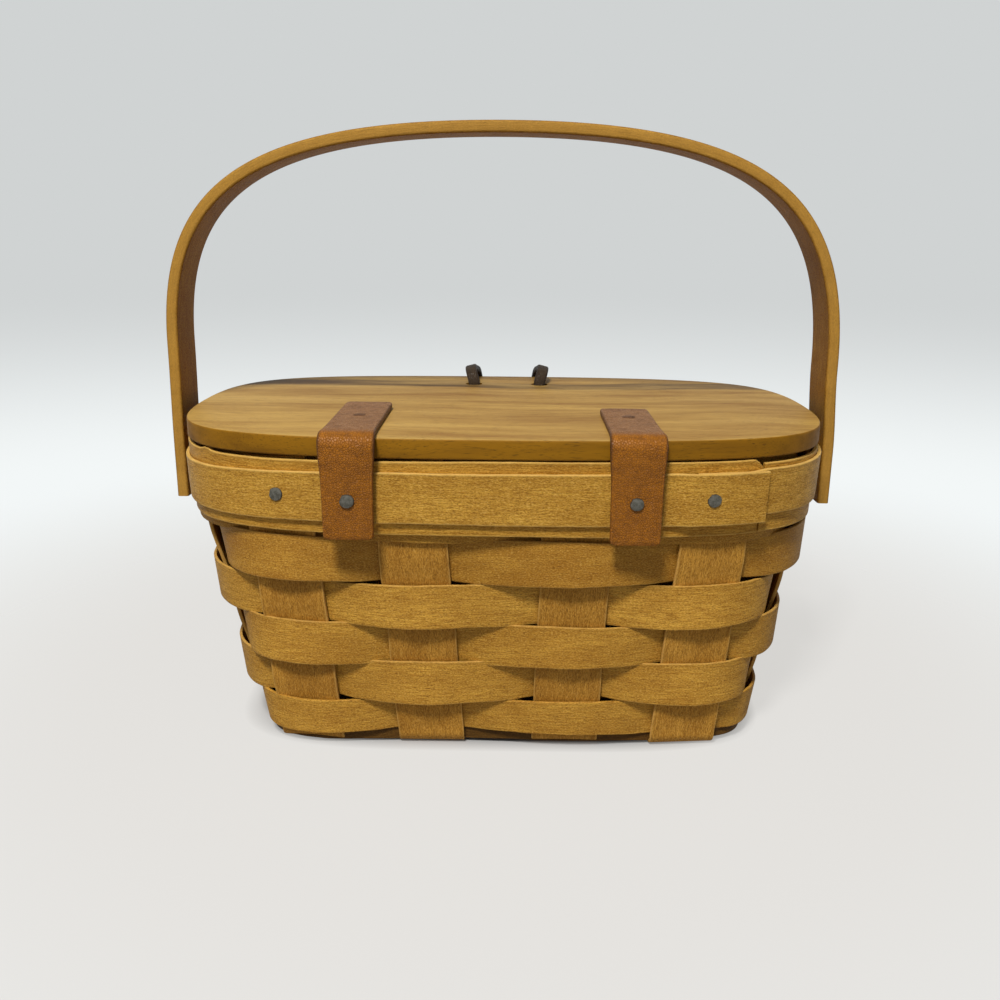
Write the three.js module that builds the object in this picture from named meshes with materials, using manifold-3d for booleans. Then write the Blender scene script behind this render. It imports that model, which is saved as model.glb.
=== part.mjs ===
// A small woven wood-splint purse with a hinged board lid and a bentwood swing handle.
// Millimetres, +Z up, -Y towards the hinged back. The origin is the bottom centre of the whole purse.
import * as THREE from "three";
import { mergeVertices } from "three/addons/utils/BufferGeometryUtils.js";
import Module from "manifold-3d";

const wasm = await Module();
wasm.setup();

// Clearances
const GAP = 0.3; // between two pieces that touch on the real purse
const HOLE_GAP = 0.35; // round a nail, rivet or screw

// Plan of the basket wall, measured to the middle of the uprights
const RIM_Z = 76; // the bands stand nearly upright above this height
const RIM_HALF_LENGTH = 99.5;
const RIM_HALF_DEPTH = 56.6;
const RIM_FLARE = 0.05; // outward lean of the bands, mm per mm
const RIM_SQUARENESS = 0.85; // reach of the corner handles, as a share of each half size
const FOOT_Z = 6;
const FOOT_HALF_LENGTH = 80.5;
const FOOT_HALF_DEPTH = 45.5;
const FOOT_SQUARENESS = 1.1;
const FOOT_SHIFT = 1.3; // the hand-woven foot stands a little to the right of the rim

// Splints
const UPRIGHT_WIDTH = 21.4;
const UPRIGHT_THICKNESS = 1.2;
const UPRIGHT_TOP = 98.9;
const LENGTHWAYS_PLACES = [-64, -24.3, 22, 62.3]; // centres of the front-to-back uprights, at LEAN_Z
const LENGTHWAYS_LEANS = [-0.07, -0.06, 0.02, 0.06]; // how far each spreads on its way up, mm per mm
const LEAN_Z = 38;
const CROSSWAYS_PLACES = [-18, 18]; // centres of the end-to-end uprights across the ends
const FOOT_BEND = 4; // radius where an upright turns up from the base
const WEAVER_WIDTH = 13.8;
const WEAVER_THICKNESS = 1.0;
const WEAVER_SPACING = 0.4;
const WEAVER_ROWS = 5;
const WEAVER_TOP = 75.3; // top edge of the first full row
const TOP_WEAVER_WIDTH = 10.2; // the narrow first row, mostly hidden by the bands
const WEAVER_SWELL = 0.45; // extra stand-off where a full row bulges over an upright
const CURVE_ALLOWANCE = 0.15; // room for the curve between two stations

// Rim bands
const BAND_THICKNESS = 1.2;
const UNDER_BAND_WIDTH = 23.2;
const UNDER_BAND_TOP = 99.6;
const OUTER_BAND_WIDTH = 15.9;
const OUTER_BAND_TOP = 96.1;
const INNER_BAND_TOP = 99.0;
const LAP_START_X = 57; // the outer band's hidden end
const LAP_END_X = 77; // and its end that shows
const LAP_RISE = 7; // length over which it climbs onto itself
const UNDER_BAND_SEAM_X = 75;
const INNER_BAND_SEAM = 0.3; // as a share of the way round
const BAND_SEAM = 0.6;

// Lid
const LID_END_OVERHANG = 4.5; // past the rim's outline
const LID_SIDE_OVERHANG = 4.8;
const LID_THICKNESS = 6;
const LID_ROUNDING = 1;
const LID_GAP = 0.4; // between the lid and the rim
const LID_SQUARENESS = 0.845;

// Leather hinge straps
const STRAP_WIDTH = 15.9;
const STRAP_THICKNESS = 2;
const STRAP_PLACES = { left: -44.6, right: 39.3 };
const STRAP_REACH = { left: -11.5, right: -19 }; // where each strap ends on the lid
const STRAP_FOOT = { left: 76.4, right: 74.9 };
const STRAP_BEND = 2.6; // outer radius over the lid's edge
const FLEX = 1.5; // free leather above and below the hinge line, each

// Tacks
const TACK_HEAD = 2.1;
const TACK_HEAD_HEIGHT = 0.8;
const TACK_SHANK = 0.6;
const BAND_TACK_PLACES = { left: -65.7, right: 61.5 };
const LID_TACK_Y = { left: -36, right: -35 };
const LID_TACK_DEPTH = 4;

// Handle
const HANDLE_WIDTH = 19;
const HANDLE_THICKNESS = 3.8;
const HANDLE_CHAMFER = 0.8;
const HANDLE_FOOT_Z = 73.8;
const HANDLE_STRAIGHT_TOP = 102;
const HANDLE_SHOULDER_Z = 138;
const HANDLE_LEAN = 1.7; // how far each leg leans in from its foot to its shoulder
const HANDLE_CROWN_Z = 195.3; // middle of the strip
const HANDLE_SHOULDER_PULL = 31;
const HANDLE_CROWN_PULL = 77;

// Rivets at the handle's feet
const RIVET_SHANK = 1.8;
const RIVET_HEAD = 5.5;
const RIVET_HEAD_HEIGHT = 1.7;
const SPACER_RADIUS = 6.5;
const SPACER_THICKNESS = 2.8;
const BURR_RADIUS = 4;
const BURR_THICKNESS = 0.8;
const PEEN_RADIUS = 2.8;
const PEEN_FACE = 2.2;
const PEEN_HEIGHT = 0.8;

// Closure: a leather thong loop over a turned knob
const THONG_WIDTH = 4.3;
const THONG_THICKNESS = 2.2;
const CLOSURE_X = 1;
const THONG_HOLE_SPACING = 25.2;
const THONG_HOLE_Y = 41.6;
const THONG_HOLE_RADIUS = 3.2;
const THONG_KNOT = 2.1; // how much thicker the knotted end is
const KNOB_NECK = 3;
const KNOB_HEAD = 8.5;
const KNOB_LENGTH = 10;
const KNOB_Z = 88;
const KNOB_SCREW = 1.2;
const KNOB_SCREW_HEAD = 3.4;
const KNOB_SCREW_HEAD_HEIGHT = 1.4;

// Places that follow from the sizes
const LID_TOP = UNDER_BAND_TOP + LID_GAP + LID_THICKNESS;
const LID_UNDERSIDE = LID_TOP - LID_THICKNESS;
const HALF_UPRIGHT = UPRIGHT_THICKNESS / 2;
const WEAVER_INSET = HALF_UPRIGHT + WEAVER_THICKNESS / 2 + GAP + CURVE_ALLOWANCE;
const WEAVER_REACH = WEAVER_INSET + WEAVER_SWELL;
const UNDER_BAND_OFFSET = WEAVER_INSET + (WEAVER_THICKNESS + BAND_THICKNESS) / 2 + GAP + CURVE_ALLOWANCE;
const OUTER_BAND_OFFSET = UNDER_BAND_OFFSET + BAND_THICKNESS + GAP;
const LAP_OFFSET = OUTER_BAND_OFFSET + BAND_THICKNESS + GAP;
const INNER_BAND_OFFSET = -UNDER_BAND_OFFSET;
const RIM_FACE = OUTER_BAND_OFFSET + BAND_THICKNESS / 2;
const RIM_INSIDE = INNER_BAND_OFFSET - BAND_THICKNESS / 2;
const FASTENER_Z = OUTER_BAND_TOP - OUTER_BAND_WIDTH / 2;
const RIM_END = RIM_HALF_LENGTH + (FASTENER_Z - RIM_Z) * RIM_FLARE + RIM_FACE;
// The middle of the strip at its foot
const HANDLE_FOOT_HALF_SPAN = RIM_END + SPACER_THICKNESS + 2 * GAP + HANDLE_THICKNESS / 2;
const HANDLE_SHOULDER_HALF_SPAN = HANDLE_FOOT_HALF_SPAN - HANDLE_LEAN;
const LID_HALF_LENGTH = RIM_HALF_LENGTH + LID_END_OVERHANG;
const LID_HALF_DEPTH = RIM_HALF_DEPTH + LID_SIDE_OVERHANG;
const BASE_LOW = UPRIGHT_THICKNESS / 2;
const BASE_FLAT = BASE_LOW + UPRIGHT_THICKNESS + GAP;
const BASE_HIGH = BASE_FLAT + UPRIGHT_THICKNESS + GAP;

const MATERIALS = {
  splint: new THREE.MeshStandardMaterial({ color: 0xb2863e, roughness: 0.6, metalness: 0 }),
  board: new THREE.MeshStandardMaterial({ color: 0xb2925e, roughness: 0.55, metalness: 0 }),
  bentwood: new THREE.MeshStandardMaterial({ color: 0xa57328, roughness: 0.5, metalness: 0 }),
  leather: new THREE.MeshStandardMaterial({ color: 0x965a28, roughness: 0.75, metalness: 0 }),
  thong: new THREE.MeshStandardMaterial({ color: 0x3a2415, roughness: 0.8, metalness: 0 }),
  tack: new THREE.MeshStandardMaterial({ color: 0x6e7378, roughness: 0.45, metalness: 1 }),
  rivet: new THREE.MeshStandardMaterial({ color: 0x6b4a35, roughness: 0.4, metalness: 1 }),
};

const basketPurse = new THREE.Group();
const purse = new THREE.Group();
const basket = new THREE.Group();
const lid = new THREE.Group();
const handle = new THREE.Group();
basketPurse.add(purse);
purse.add(basket, lid, handle);

function addPiece(group, name, geometry, material) {
  const mesh = new THREE.Mesh(geometry, material);
  mesh.name = name;
  group.add(mesh);
  return mesh;
}

// A closed solid through rings of points. The first half of a ring is one face and the second half,
// taken backwards, is the face opposite, so the two ends close with a strip between them.
function loft(rings, closed = false) {
  const count = rings[0].length;
  const positions = rings.flat().flatMap((p) => [p.x, p.y, p.z]);
  const faces = [];
  const quad = (a, b, c, d) => faces.push(a, b, c, a, c, d);
  const last = closed ? rings.length : rings.length - 1;
  for (let j = 0; j < last; j++) {
    const here = j * count;
    const next = ((j + 1) % rings.length) * count;
    for (let i = 0; i < count; i++) {
      const k = (i + 1) % count;
      quad(here + i, here + k, next + k, next + i);
    }
  }
  if (!closed) {
    const far = (rings.length - 1) * count;
    for (let i = 0; i < count / 2 - 1; i++) {
      const m = count - 1 - i;
      quad(i, m, m - 1, i + 1);
      quad(far + i, far + i + 1, far + m - 1, far + m);
    }
  }
  const geometry = new THREE.BufferGeometry();
  geometry.setAttribute("position", new THREE.Float32BufferAttribute(positions, 3));
  geometry.setIndex(signedVolume(positions, faces) < 0 ? faces.reverse() : faces);
  return geometry;
}

function signedVolume(positions, faces) {
  const corner = (i) => new THREE.Vector3().fromArray(positions, 3 * i);
  let volume = 0;
  for (let i = 0; i < faces.length; i += 3) {
    volume += corner(faces[i]).dot(corner(faces[i + 1]).cross(corner(faces[i + 2])));
  }
  return volume;
}

function toSolid(geometry) {
  const bare = geometry.clone();
  bare.deleteAttribute("normal");
  bare.deleteAttribute("uv");
  const merged = mergeVertices(bare, 1e-4);
  const vertProperties = new Float32Array(merged.attributes.position.array);
  const triVerts = new Uint32Array(merged.index.array);
  return new wasm.Manifold(new wasm.Mesh({ numProp: 3, vertProperties, triVerts }));
}

function toGeometry(solid) {
  const mesh = solid.getMesh();
  const geometry = new THREE.BufferGeometry();
  geometry.setAttribute("position", new THREE.BufferAttribute(mesh.vertProperties, 3));
  geometry.setIndex(new THREE.BufferAttribute(mesh.triVerts, 1));
  return geometry;
}

function cut(geometry, cutters) {
  const start = toSolid(geometry);
  return toGeometry(cutters.reduce((solid, cutter) => solid.subtract(toSolid(cutter)), start));
}

const LATHE_AXIS = new THREE.Vector3(0, 1, 0);
const UPWARDS = new THREE.Vector3(0, 0, 1);
const TOWARDS_HINGE = new THREE.Vector3(0, -1, 0);
const TOWARDS_KNOB = new THREE.Vector3(0, 1, 0);

// A rod of the given radius whose axis runs along a direction, centred on a point.
function rod(radius, length, centre, direction, sides = 10) {
  const geometry = new THREE.CylinderGeometry(radius, radius, length, sides);
  const turn = new THREE.Quaternion().setFromUnitVectors(LATHE_AXIS, direction);
  return geometry.applyQuaternion(turn).translate(centre.x, centre.y, centre.z);
}

// The wall's outline at a height: a closed curve of four equal Bezier quarters.
const outlines = new Map();

const riseShare = (z) => THREE.MathUtils.clamp((z - FOOT_Z) / (RIM_Z - FOOT_Z), 0, 1);
const shiftAt = (z) => FOOT_SHIFT * (1 - riseShare(z));

function outlineAt(z) {
  if (outlines.has(z)) return outlines.get(z);
  const rise = Math.max(0, z - RIM_Z) * RIM_FLARE;
  const share = riseShare(z);
  const halfLength = THREE.MathUtils.lerp(FOOT_HALF_LENGTH, RIM_HALF_LENGTH, share) + rise;
  const halfDepth = THREE.MathUtils.lerp(FOOT_HALF_DEPTH, RIM_HALF_DEPTH, share) + rise;
  const squareness = THREE.MathUtils.lerp(FOOT_SQUARENESS, RIM_SQUARENESS, share);
  const outline = ovalCurve(halfLength, halfDepth, squareness, shiftAt(z));
  outlines.set(z, outline);
  return outline;
}

// Anticlockwise from the right end, so that a quarter of the length lies between two axes.
function ovalCurve(halfLength, halfDepth, squareness, shift = 0) {
  const curve = new THREE.CurvePath();
  const at = (x, y) => new THREE.Vector2(x * halfLength + shift, y * halfDepth);
  for (const [sx, sy] of [[1, 1], [-1, 1], [-1, -1], [1, -1]]) {
    const end = at(sx, 0);
    const endPull = at(sx, sy * squareness);
    const sidePull = at(sx * squareness, sy);
    const side = at(0, sy);
    const points = [end, endPull, sidePull, side];
    if (sx * sy < 0) points.reverse();
    curve.add(new THREE.CubicBezierCurve(...points));
  }
  return curve;
}

// A point of the wall at a share u of the way round, and the outward direction there.
function wallAt(u, z) {
  const outline = outlineAt(z);
  const share = ((u % 1) + 1) % 1;
  const point = outline.getPointAt(share);
  const tangent = outline.getTangentAt(share);
  return { point: new THREE.Vector3(point.x, point.y, z), out: new THREE.Vector3(tangent.y, -tangent.x, 0) };
}

function offsetFromWall(u, z, offset) {
  const { point, out } = wallAt(u, z);
  return point.addScaledVector(out, offset);
}

// The share of the way round at which a side of the wall passes a place, found by halving.
function shareWhere(axis, place, z, from, to) {
  const value = (u) => wallAt(u, z).point[axis];
  const rising = value(to) > value(from);
  let low = from;
  let high = to;
  for (let step = 0; step < 40; step++) {
    const middle = (low + high) / 2;
    if (value(middle) < place === rising) low = middle;
    else high = middle;
  }
  return (low + high) / 2;
}

const nearShare = (x, z) => shareWhere("x", x, z, 0.5, 1);
const rightShare = (y, z) => shareWhere("y", y, z, -0.25, 0.25);
const lengthwaysPlace = (i, z) => LENGTHWAYS_PLACES[i] + LENGTHWAYS_LEANS[i] * (z - LEAN_Z);
const uprightShare = (i, z) => nearShare(lengthwaysPlace(i, z), z);
const roundWall = (z) => outlineAt(z).getLength();

// The uprights in the order in which a weaver meets them, with the side that odd rows pass on.
function uprightsRound(z) {
  const order = [];
  const places = LENGTHWAYS_PLACES.map((x, i) => uprightShare(i, z));
  places.forEach((share, i) => order.push({ share, outside: i % 2 === 0 }));
  CROSSWAYS_PLACES.forEach((y, i) => order.push({ share: 1 + rightShare(y, z), outside: i % 2 === 0 }));
  places.reverse().forEach((share, i) => order.push({ share: 2 - share, outside: i % 2 === 0 }));
  [...CROSSWAYS_PLACES].reverse().forEach((y, i) => {
    order.push({ share: 1.5 - rightShare(y, z), outside: i % 2 === 0 });
  });
  return order;
}

// Flat spans over or under each upright, joined by smooth crossings.
const SPAN_STEPS = 3;
const CROSSING_STEPS = 4;

function weaverStations(z, oddRow, reach, inset) {
  const halfSpan = (UPRIGHT_WIDTH / 2 + 2 * GAP) / roundWall(z);
  const uprights = uprightsRound(z);
  const stations = [];
  uprights.forEach((upright, i) => {
    const next = uprights[(i + 1) % uprights.length];
    const nextShare = next.share + (i + 1 === uprights.length ? 1 : 0);
    const offset = upright.outside === oddRow ? reach : -inset;
    const nextOffset = next.outside === oddRow ? reach : -inset;
    const from = upright.share - halfSpan;
    const to = upright.share + halfSpan;
    for (let k = 0; k < SPAN_STEPS; k++) {
      stations.push({ share: THREE.MathUtils.lerp(from, to, k / SPAN_STEPS), offset });
    }
    for (let k = 0; k < CROSSING_STEPS; k++) {
      const part = k / CROSSING_STEPS;
      const share = THREE.MathUtils.lerp(to, nextShare - halfSpan, part);
      const ease = THREE.MathUtils.smoothstep(part, 0, 1);
      stations.push({ share, offset: THREE.MathUtils.lerp(offset, nextOffset, ease) });
    }
  });
  return stations;
}

// The four corners of an upright-standing strip at one place of the wall.
function stripRing(share, offset, thickness, bottom, top) {
  const half = thickness / 2;
  return [
    offsetFromWall(share, bottom, offset - half),
    offsetFromWall(share, top, offset - half),
    offsetFromWall(share, top, offset + half),
    offsetFromWall(share, bottom, offset + half),
  ];
}

function makeWeaver(row) {
  const pitch = WEAVER_WIDTH + WEAVER_SPACING;
  const top = row === 0 ? WEAVER_TOP + WEAVER_SPACING + TOP_WEAVER_WIDTH : WEAVER_TOP - (row - 1) * pitch;
  const bottom = top - (row === 0 ? TOP_WEAVER_WIDTH : WEAVER_WIDTH);
  const reach = row === 0 ? WEAVER_INSET : WEAVER_REACH;
  const upper = weaverStations(top, row % 2 === 1, reach, WEAVER_INSET);
  const lower = weaverStations(bottom, row % 2 === 1, reach, WEAVER_INSET);
  const half = WEAVER_THICKNESS / 2;
  const rings = upper.map((station, i) => [
    offsetFromWall(lower[i].share, bottom, lower[i].offset - half),
    offsetFromWall(station.share, top, station.offset - half),
    offsetFromWall(station.share, top, station.offset + half),
    offsetFromWall(lower[i].share, bottom, lower[i].offset + half),
  ]);
  addPiece(basket, `weaver_${row}`, loft(rings, true), MATERIALS.splint);
}

// Uprights: down one wall, across the base and up the other, three columns of faces wide.
const COLUMNS = [-1, -1 / 3, 1 / 3, 1];
const BEND_STEPS = 4;
const WALL_LEVELS = [UPRIGHT_TOP, RIM_Z, 52, 28];

// The frame of one column on one wall: the points down it, each with its outward direction.
function columnDown(centreShare, column, baseHeight) {
  const bendTop = baseHeight + FOOT_BEND;
  const shareAt = (z) => centreShare(z) + (column * UPRIGHT_WIDTH) / 2 / roundWall(z);
  const down = [...WALL_LEVELS, bendTop].map((z) => wallAt(shareAt(z), z));
  const foot = down[down.length - 1];
  const centre = foot.point.clone().addScaledVector(foot.out, -FOOT_BEND);
  for (let k = 1; k <= BEND_STEPS; k++) {
    const angle = (k / BEND_STEPS) * (Math.PI / 2);
    const out = foot.out.clone().multiplyScalar(Math.cos(angle));
    out.z = -Math.sin(angle);
    down.push({ point: centre.clone().addScaledVector(out, FOOT_BEND), out });
  }
  return down;
}

// Heights across the base, between the two bends: over or under each upright that it crosses.
function baseHeights(crossings, reach, low) {
  const halfSpan = UPRIGHT_WIDTH / 2 + 2 * GAP;
  const marks = [{ at: -reach, height: low }];
  for (const crossing of crossings) {
    marks.push({ at: crossing.at - halfSpan, height: crossing.height });
    marks.push({ at: crossing.at + halfSpan, height: crossing.height });
  }
  marks.push({ at: reach, height: low });
  const heights = [];
  marks.slice(1).forEach((mark, i) => {
    const before = marks[i];
    const steps = before.height === mark.height ? 1 : CROSSING_STEPS;
    for (let k = i === 0 ? 1 : 0; k < steps; k++) {
      const part = k / steps;
      const ease = THREE.MathUtils.smoothstep(part, 0, 1);
      heights.push({
        part: THREE.MathUtils.lerp(before.at, mark.at, part) / reach,
        height: THREE.MathUtils.lerp(before.height, mark.height, ease),
      });
    }
  });
  return heights;
}

function makeUpright(name, centreShare, mirror, baseHeight, crossings) {
  const columns = COLUMNS.map((column) => columnDown(centreShare, column, baseHeight));
  const foot = columns[1].at(-1).point;
  const reach = Math.abs(mirror === "y" ? foot.y : foot.x - shiftAt(foot.z));
  const across = baseHeights(crossings, reach, baseHeight);
  const rings = [];
  const ringOf = (frames) => {
    const inner = frames.map(({ point, out }) => point.clone().addScaledVector(out, -HALF_UPRIGHT));
    const outer = frames.map(({ point, out }) => point.clone().addScaledVector(out, HALF_UPRIGHT));
    rings.push([...inner, ...outer.reverse()]);
  };
  const flip = ({ point, out }) => {
    const mirrored = { point: point.clone(), out: out.clone() };
    if (mirror === "y") mirrored.point.y = -point.y;
    else mirrored.point.x = 2 * shiftAt(point.z) - point.x;
    mirrored.out[mirror] = -out[mirror];
    return mirrored;
  };
  const steps = columns[0].length;
  for (let j = 0; j < steps; j++) ringOf(columns.map((column) => column[j]));
  for (const { part, height } of across) {
    ringOf(columns.map((column) => {
      const start = column[steps - 1];
      const end = flip(start);
      const point = start.point.clone().lerp(end.point, (part + 1) / 2);
      point.z = height;
      return { point, out: start.out };
    }));
  }
  for (let j = steps - 1; j >= 0; j--) ringOf(columns.map((column) => flip(column[j])));
  return addPiece(basket, name, loft(rings), MATERIALS.splint);
}

// Front-to-back uprights start at the near wall, end-to-end uprights at the right wall.
const uprightMeshes = [];
LENGTHWAYS_PLACES.forEach((x, i) => {
  const crossings = CROSSWAYS_PLACES.map((y, j) => {
    return { at: y, height: (i + j) % 2 === 0 ? BASE_LOW : BASE_HIGH };
  });
  uprightMeshes.push(makeUpright(`upright_${i + 1}`, (z) => uprightShare(i, z), "y", BASE_LOW, crossings));
});
CROSSWAYS_PLACES.forEach((y, j) => {
  uprightMeshes.push(makeUpright(`end_upright_${j + 1}`, (z) => rightShare(y, z), "x", BASE_FLAT, []));
});

for (let row = 0; row <= WEAVER_ROWS; row++) makeWeaver(row);

// Places round the rim, seen from inside to outside
const farShare = (x, z) => 1 - nearShare(x, z);
const nearFace = (x, offset) => offsetFromWall(nearShare(x, OUTER_BAND_TOP), OUTER_BAND_TOP, offset).y;

// The straps hang straight, so the band's face nearest to them sets where they hang.
const STRAP_EDGES = Object.values(STRAP_PLACES).map((x) => Math.abs(x) - STRAP_WIDTH / 2);
const STRAP_BACK_Y = nearFace(Math.min(...STRAP_EDGES), RIM_FACE) - GAP;
const STRAP_MIDDLE_Y = STRAP_BACK_Y - STRAP_THICKNESS / 2;
const STRAP_FRONT_Y = STRAP_BACK_Y - STRAP_THICKNESS;
const HINGE_Z = UNDER_BAND_TOP + LID_GAP / 2;

// Fasteners: turned about their own length, which points along +Y, with the head's seat at 0.
const FASTENER_SIDES = 12;
const ROUND_SIDES = 16; // rivets, washers and the holes that show
const HOLE_SIDES = 8;
const KNOB_SIDES = 20;

function turned(profile, sides = FASTENER_SIDES) {
  return new THREE.LatheGeometry(profile.map(([radius, height]) => new THREE.Vector2(radius, height)), sides);
}

function placeTurned(group, name, geometry, seat, direction, material) {
  const mesh = addPiece(group, name, geometry, material);
  mesh.position.copy(seat);
  mesh.quaternion.setFromUnitVectors(LATHE_AXIS, direction);
  return mesh;
}

// Heads in profile: shares of the head's radius and height
const NAIL_HEAD = [[1, 0], [0.94, 0.45], [0.6, 0.88], [0, 1]];
const RIVET_DOME = [[1, 0], [0.93, 0.45], [0.7, 0.8], [0.35, 0.97], [0, 1]];
const KNOB_PROFILE = [[0.85, 0.12], [1, 0.3], [0.96, 0.57], [0.72, 0.895], [0.35, 0.97], [0, 1]];
const scaled = (profile, radius, height) => profile.map(([r, h]) => [r * radius, h * height]);

function nailGeometry(headRadius, headHeight, shankRadius, shankLength) {
  return turned([
    [0, -shankLength],
    [shankRadius, -shankLength],
    [shankRadius, 0],
    ...scaled(NAIL_HEAD, headRadius, headHeight),
  ]);
}

// Everything that passes through the rim, and the holes that it needs.
const HOLE_LENGTH = 40;
const rimHoles = [];

function boreRim(point, direction, radius) {
  rimHoles.push(rod(radius + HOLE_GAP, HOLE_LENGTH, point, direction, HOLE_SIDES));
}

const SHANK_END = 0.5; // how far a nail shows inside the rim

function addBandTack(name, share, faceOffset) {
  const { point, out } = wallAt(share, FASTENER_Z);
  boreRim(point, out, TACK_SHANK);
  const seat = point.clone().addScaledVector(out, faceOffset + GAP);
  const shank = faceOffset + GAP - RIM_INSIDE + SHANK_END;
  const geometry = nailGeometry(TACK_HEAD, TACK_HEAD_HEIGHT, TACK_SHANK, shank);
  placeTurned(basket, name, geometry, seat, out, MATERIALS.tack);
}

const LAP_FACE = LAP_OFFSET + BAND_THICKNESS / 2;
for (const [side, x] of Object.entries(BAND_TACK_PLACES)) {
  addBandTack(`band_tack_back_${side}`, nearShare(x, FASTENER_Z), side === "right" ? LAP_FACE : RIM_FACE);
  addBandTack(`band_tack_front_${side}`, farShare(x, FASTENER_Z), RIM_FACE);
}

// Rivets, their spacers under the handle and their burrs inside the rim
function addRivet(side, share) {
  const { point, out } = wallAt(share, FASTENER_Z);
  boreRim(point, out, RIVET_SHANK);
  const handleOutside = HANDLE_FOOT_HALF_SPAN + HANDLE_THICKNESS / 2;
  const headSeat = handleOutside + GAP;
  const burrOutside = Math.abs(point.x) + RIM_INSIDE - GAP;
  const peenSeat = burrOutside - BURR_THICKNESS - GAP;
  const along = (distance) => new THREE.Vector3(out.x * distance, point.y, FASTENER_Z);
  const bore = RIVET_SHANK + HOLE_GAP;
  const rivet = turned([
    [0, peenSeat - PEEN_HEIGHT - headSeat],
    [PEEN_FACE, peenSeat - PEEN_HEIGHT - headSeat],
    [PEEN_RADIUS, peenSeat - headSeat],
    [RIVET_SHANK, peenSeat - headSeat],
    [RIVET_SHANK, 0],
    ...scaled(RIVET_DOME, RIVET_HEAD, RIVET_HEAD_HEIGHT),
  ], ROUND_SIDES);
  placeTurned(basket, `rivet_${side}`, rivet, along(headSeat), out, MATERIALS.rivet);
  const washer = (radius, thickness) => turned([
    [bore, 0],
    [radius, 0],
    [radius, thickness],
    [bore, thickness],
    [bore, 0],
  ], ROUND_SIDES);
  const spacer = washer(SPACER_RADIUS, SPACER_THICKNESS);
  placeTurned(basket, `spacer_${side}`, spacer, along(RIM_END + GAP), out, MATERIALS.rivet);
  const burr = washer(BURR_RADIUS, BURR_THICKNESS);
  placeTurned(basket, `burr_${side}`, burr, along(burrOutside - BURR_THICKNESS), out, MATERIALS.rivet);
}

addRivet("left", 0.5);
addRivet("right", 0);

// Closure knob on the front of the rim, held by a screw from inside
const knobWall = wallAt(farShare(CLOSURE_X, KNOB_Z), KNOB_Z).point;
const KNOB_SEAT_Y = knobWall.y + RIM_FACE + GAP;
const NECK_LENGTH = THONG_THICKNESS + 4 * GAP;
const SCREW_GRIP = 6; // how far the screw reaches into the knob

function addKnob() {
  const bore = KNOB_SCREW + HOLE_GAP;
  const boreDepth = SCREW_GRIP + GAP;
  const head = scaled(KNOB_PROFILE, KNOB_HEAD, KNOB_LENGTH - NECK_LENGTH);
  const knob = turned([
    [0, boreDepth],
    [bore, boreDepth],
    [bore, 0],
    [KNOB_NECK, 0],
    [KNOB_NECK, NECK_LENGTH],
    ...head.map(([radius, height]) => [radius, NECK_LENGTH + height]),
  ], KNOB_SIDES);
  const knobSeat = new THREE.Vector3(CLOSURE_X, KNOB_SEAT_Y, KNOB_Z);
  placeTurned(basket, "closure_knob", knob, knobSeat, TOWARDS_KNOB, MATERIALS.bentwood);
  boreRim(knobWall, TOWARDS_KNOB, KNOB_SCREW);
  const screwSeat = new THREE.Vector3(CLOSURE_X, knobWall.y + RIM_INSIDE - GAP, KNOB_Z);
  const shank = KNOB_SEAT_Y - screwSeat.y + SCREW_GRIP;
  const screw = nailGeometry(KNOB_SCREW_HEAD, KNOB_SCREW_HEAD_HEIGHT, KNOB_SCREW, shank);
  placeTurned(basket, "knob_screw", screw, screwSeat, TOWARDS_HINGE, MATERIALS.tack);
}

addKnob();

// Lid board
const lidHoles = [];

function lidOutline() {
  const outline = new THREE.Shape();
  outline.curves = ovalCurve(LID_HALF_LENGTH, LID_HALF_DEPTH, LID_SQUARENESS).curves;
  return outline;
}

function addLidBoard() {
  const board = new THREE.ExtrudeGeometry(lidOutline(), {
    depth: LID_THICKNESS - 2 * LID_ROUNDING,
    bevelThickness: LID_ROUNDING,
    bevelSize: LID_ROUNDING,
    bevelOffset: -LID_ROUNDING,
    bevelSegments: 2,
    curveSegments: 12,
  });
  board.translate(0, 0, LID_UNDERSIDE + LID_ROUNDING);
  addPiece(lid, "lid_board", cut(board, lidHoles), MATERIALS.board);
}

// Hinge straps: one strip of leather each, divided at the hinge line
const STRAP_CORNER = 2.5; // rounding of the ends on the lid
const TAIL_CORNER = 1; // and of the ends on the rim
const CORNER_STEPS = 3;
const STRAP_BEND_STEPS = 5;

function strapRing(x, y, z, angle, half) {
  const up = Math.cos(angle) * (STRAP_THICKNESS / 2);
  const back = Math.sin(angle) * (STRAP_THICKNESS / 2);
  return [
    new THREE.Vector3(x - half, y + back, z - up),
    new THREE.Vector3(x + half, y + back, z - up),
    new THREE.Vector3(x + half, y - back, z + up),
    new THREE.Vector3(x - half, y - back, z + up),
  ];
}

// Rounded corners at a strap's end: how far back from the end, and how wide it is there.
function endCorners(radius) {
  const corners = [];
  for (let k = 0; k <= CORNER_STEPS; k++) {
    const angle = (k / CORNER_STEPS) * (Math.PI / 2);
    const half = STRAP_WIDTH / 2 - radius + radius * Math.sin(angle);
    corners.push({ back: radius * (1 - Math.cos(angle)), half });
  }
  return corners;
}

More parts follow.
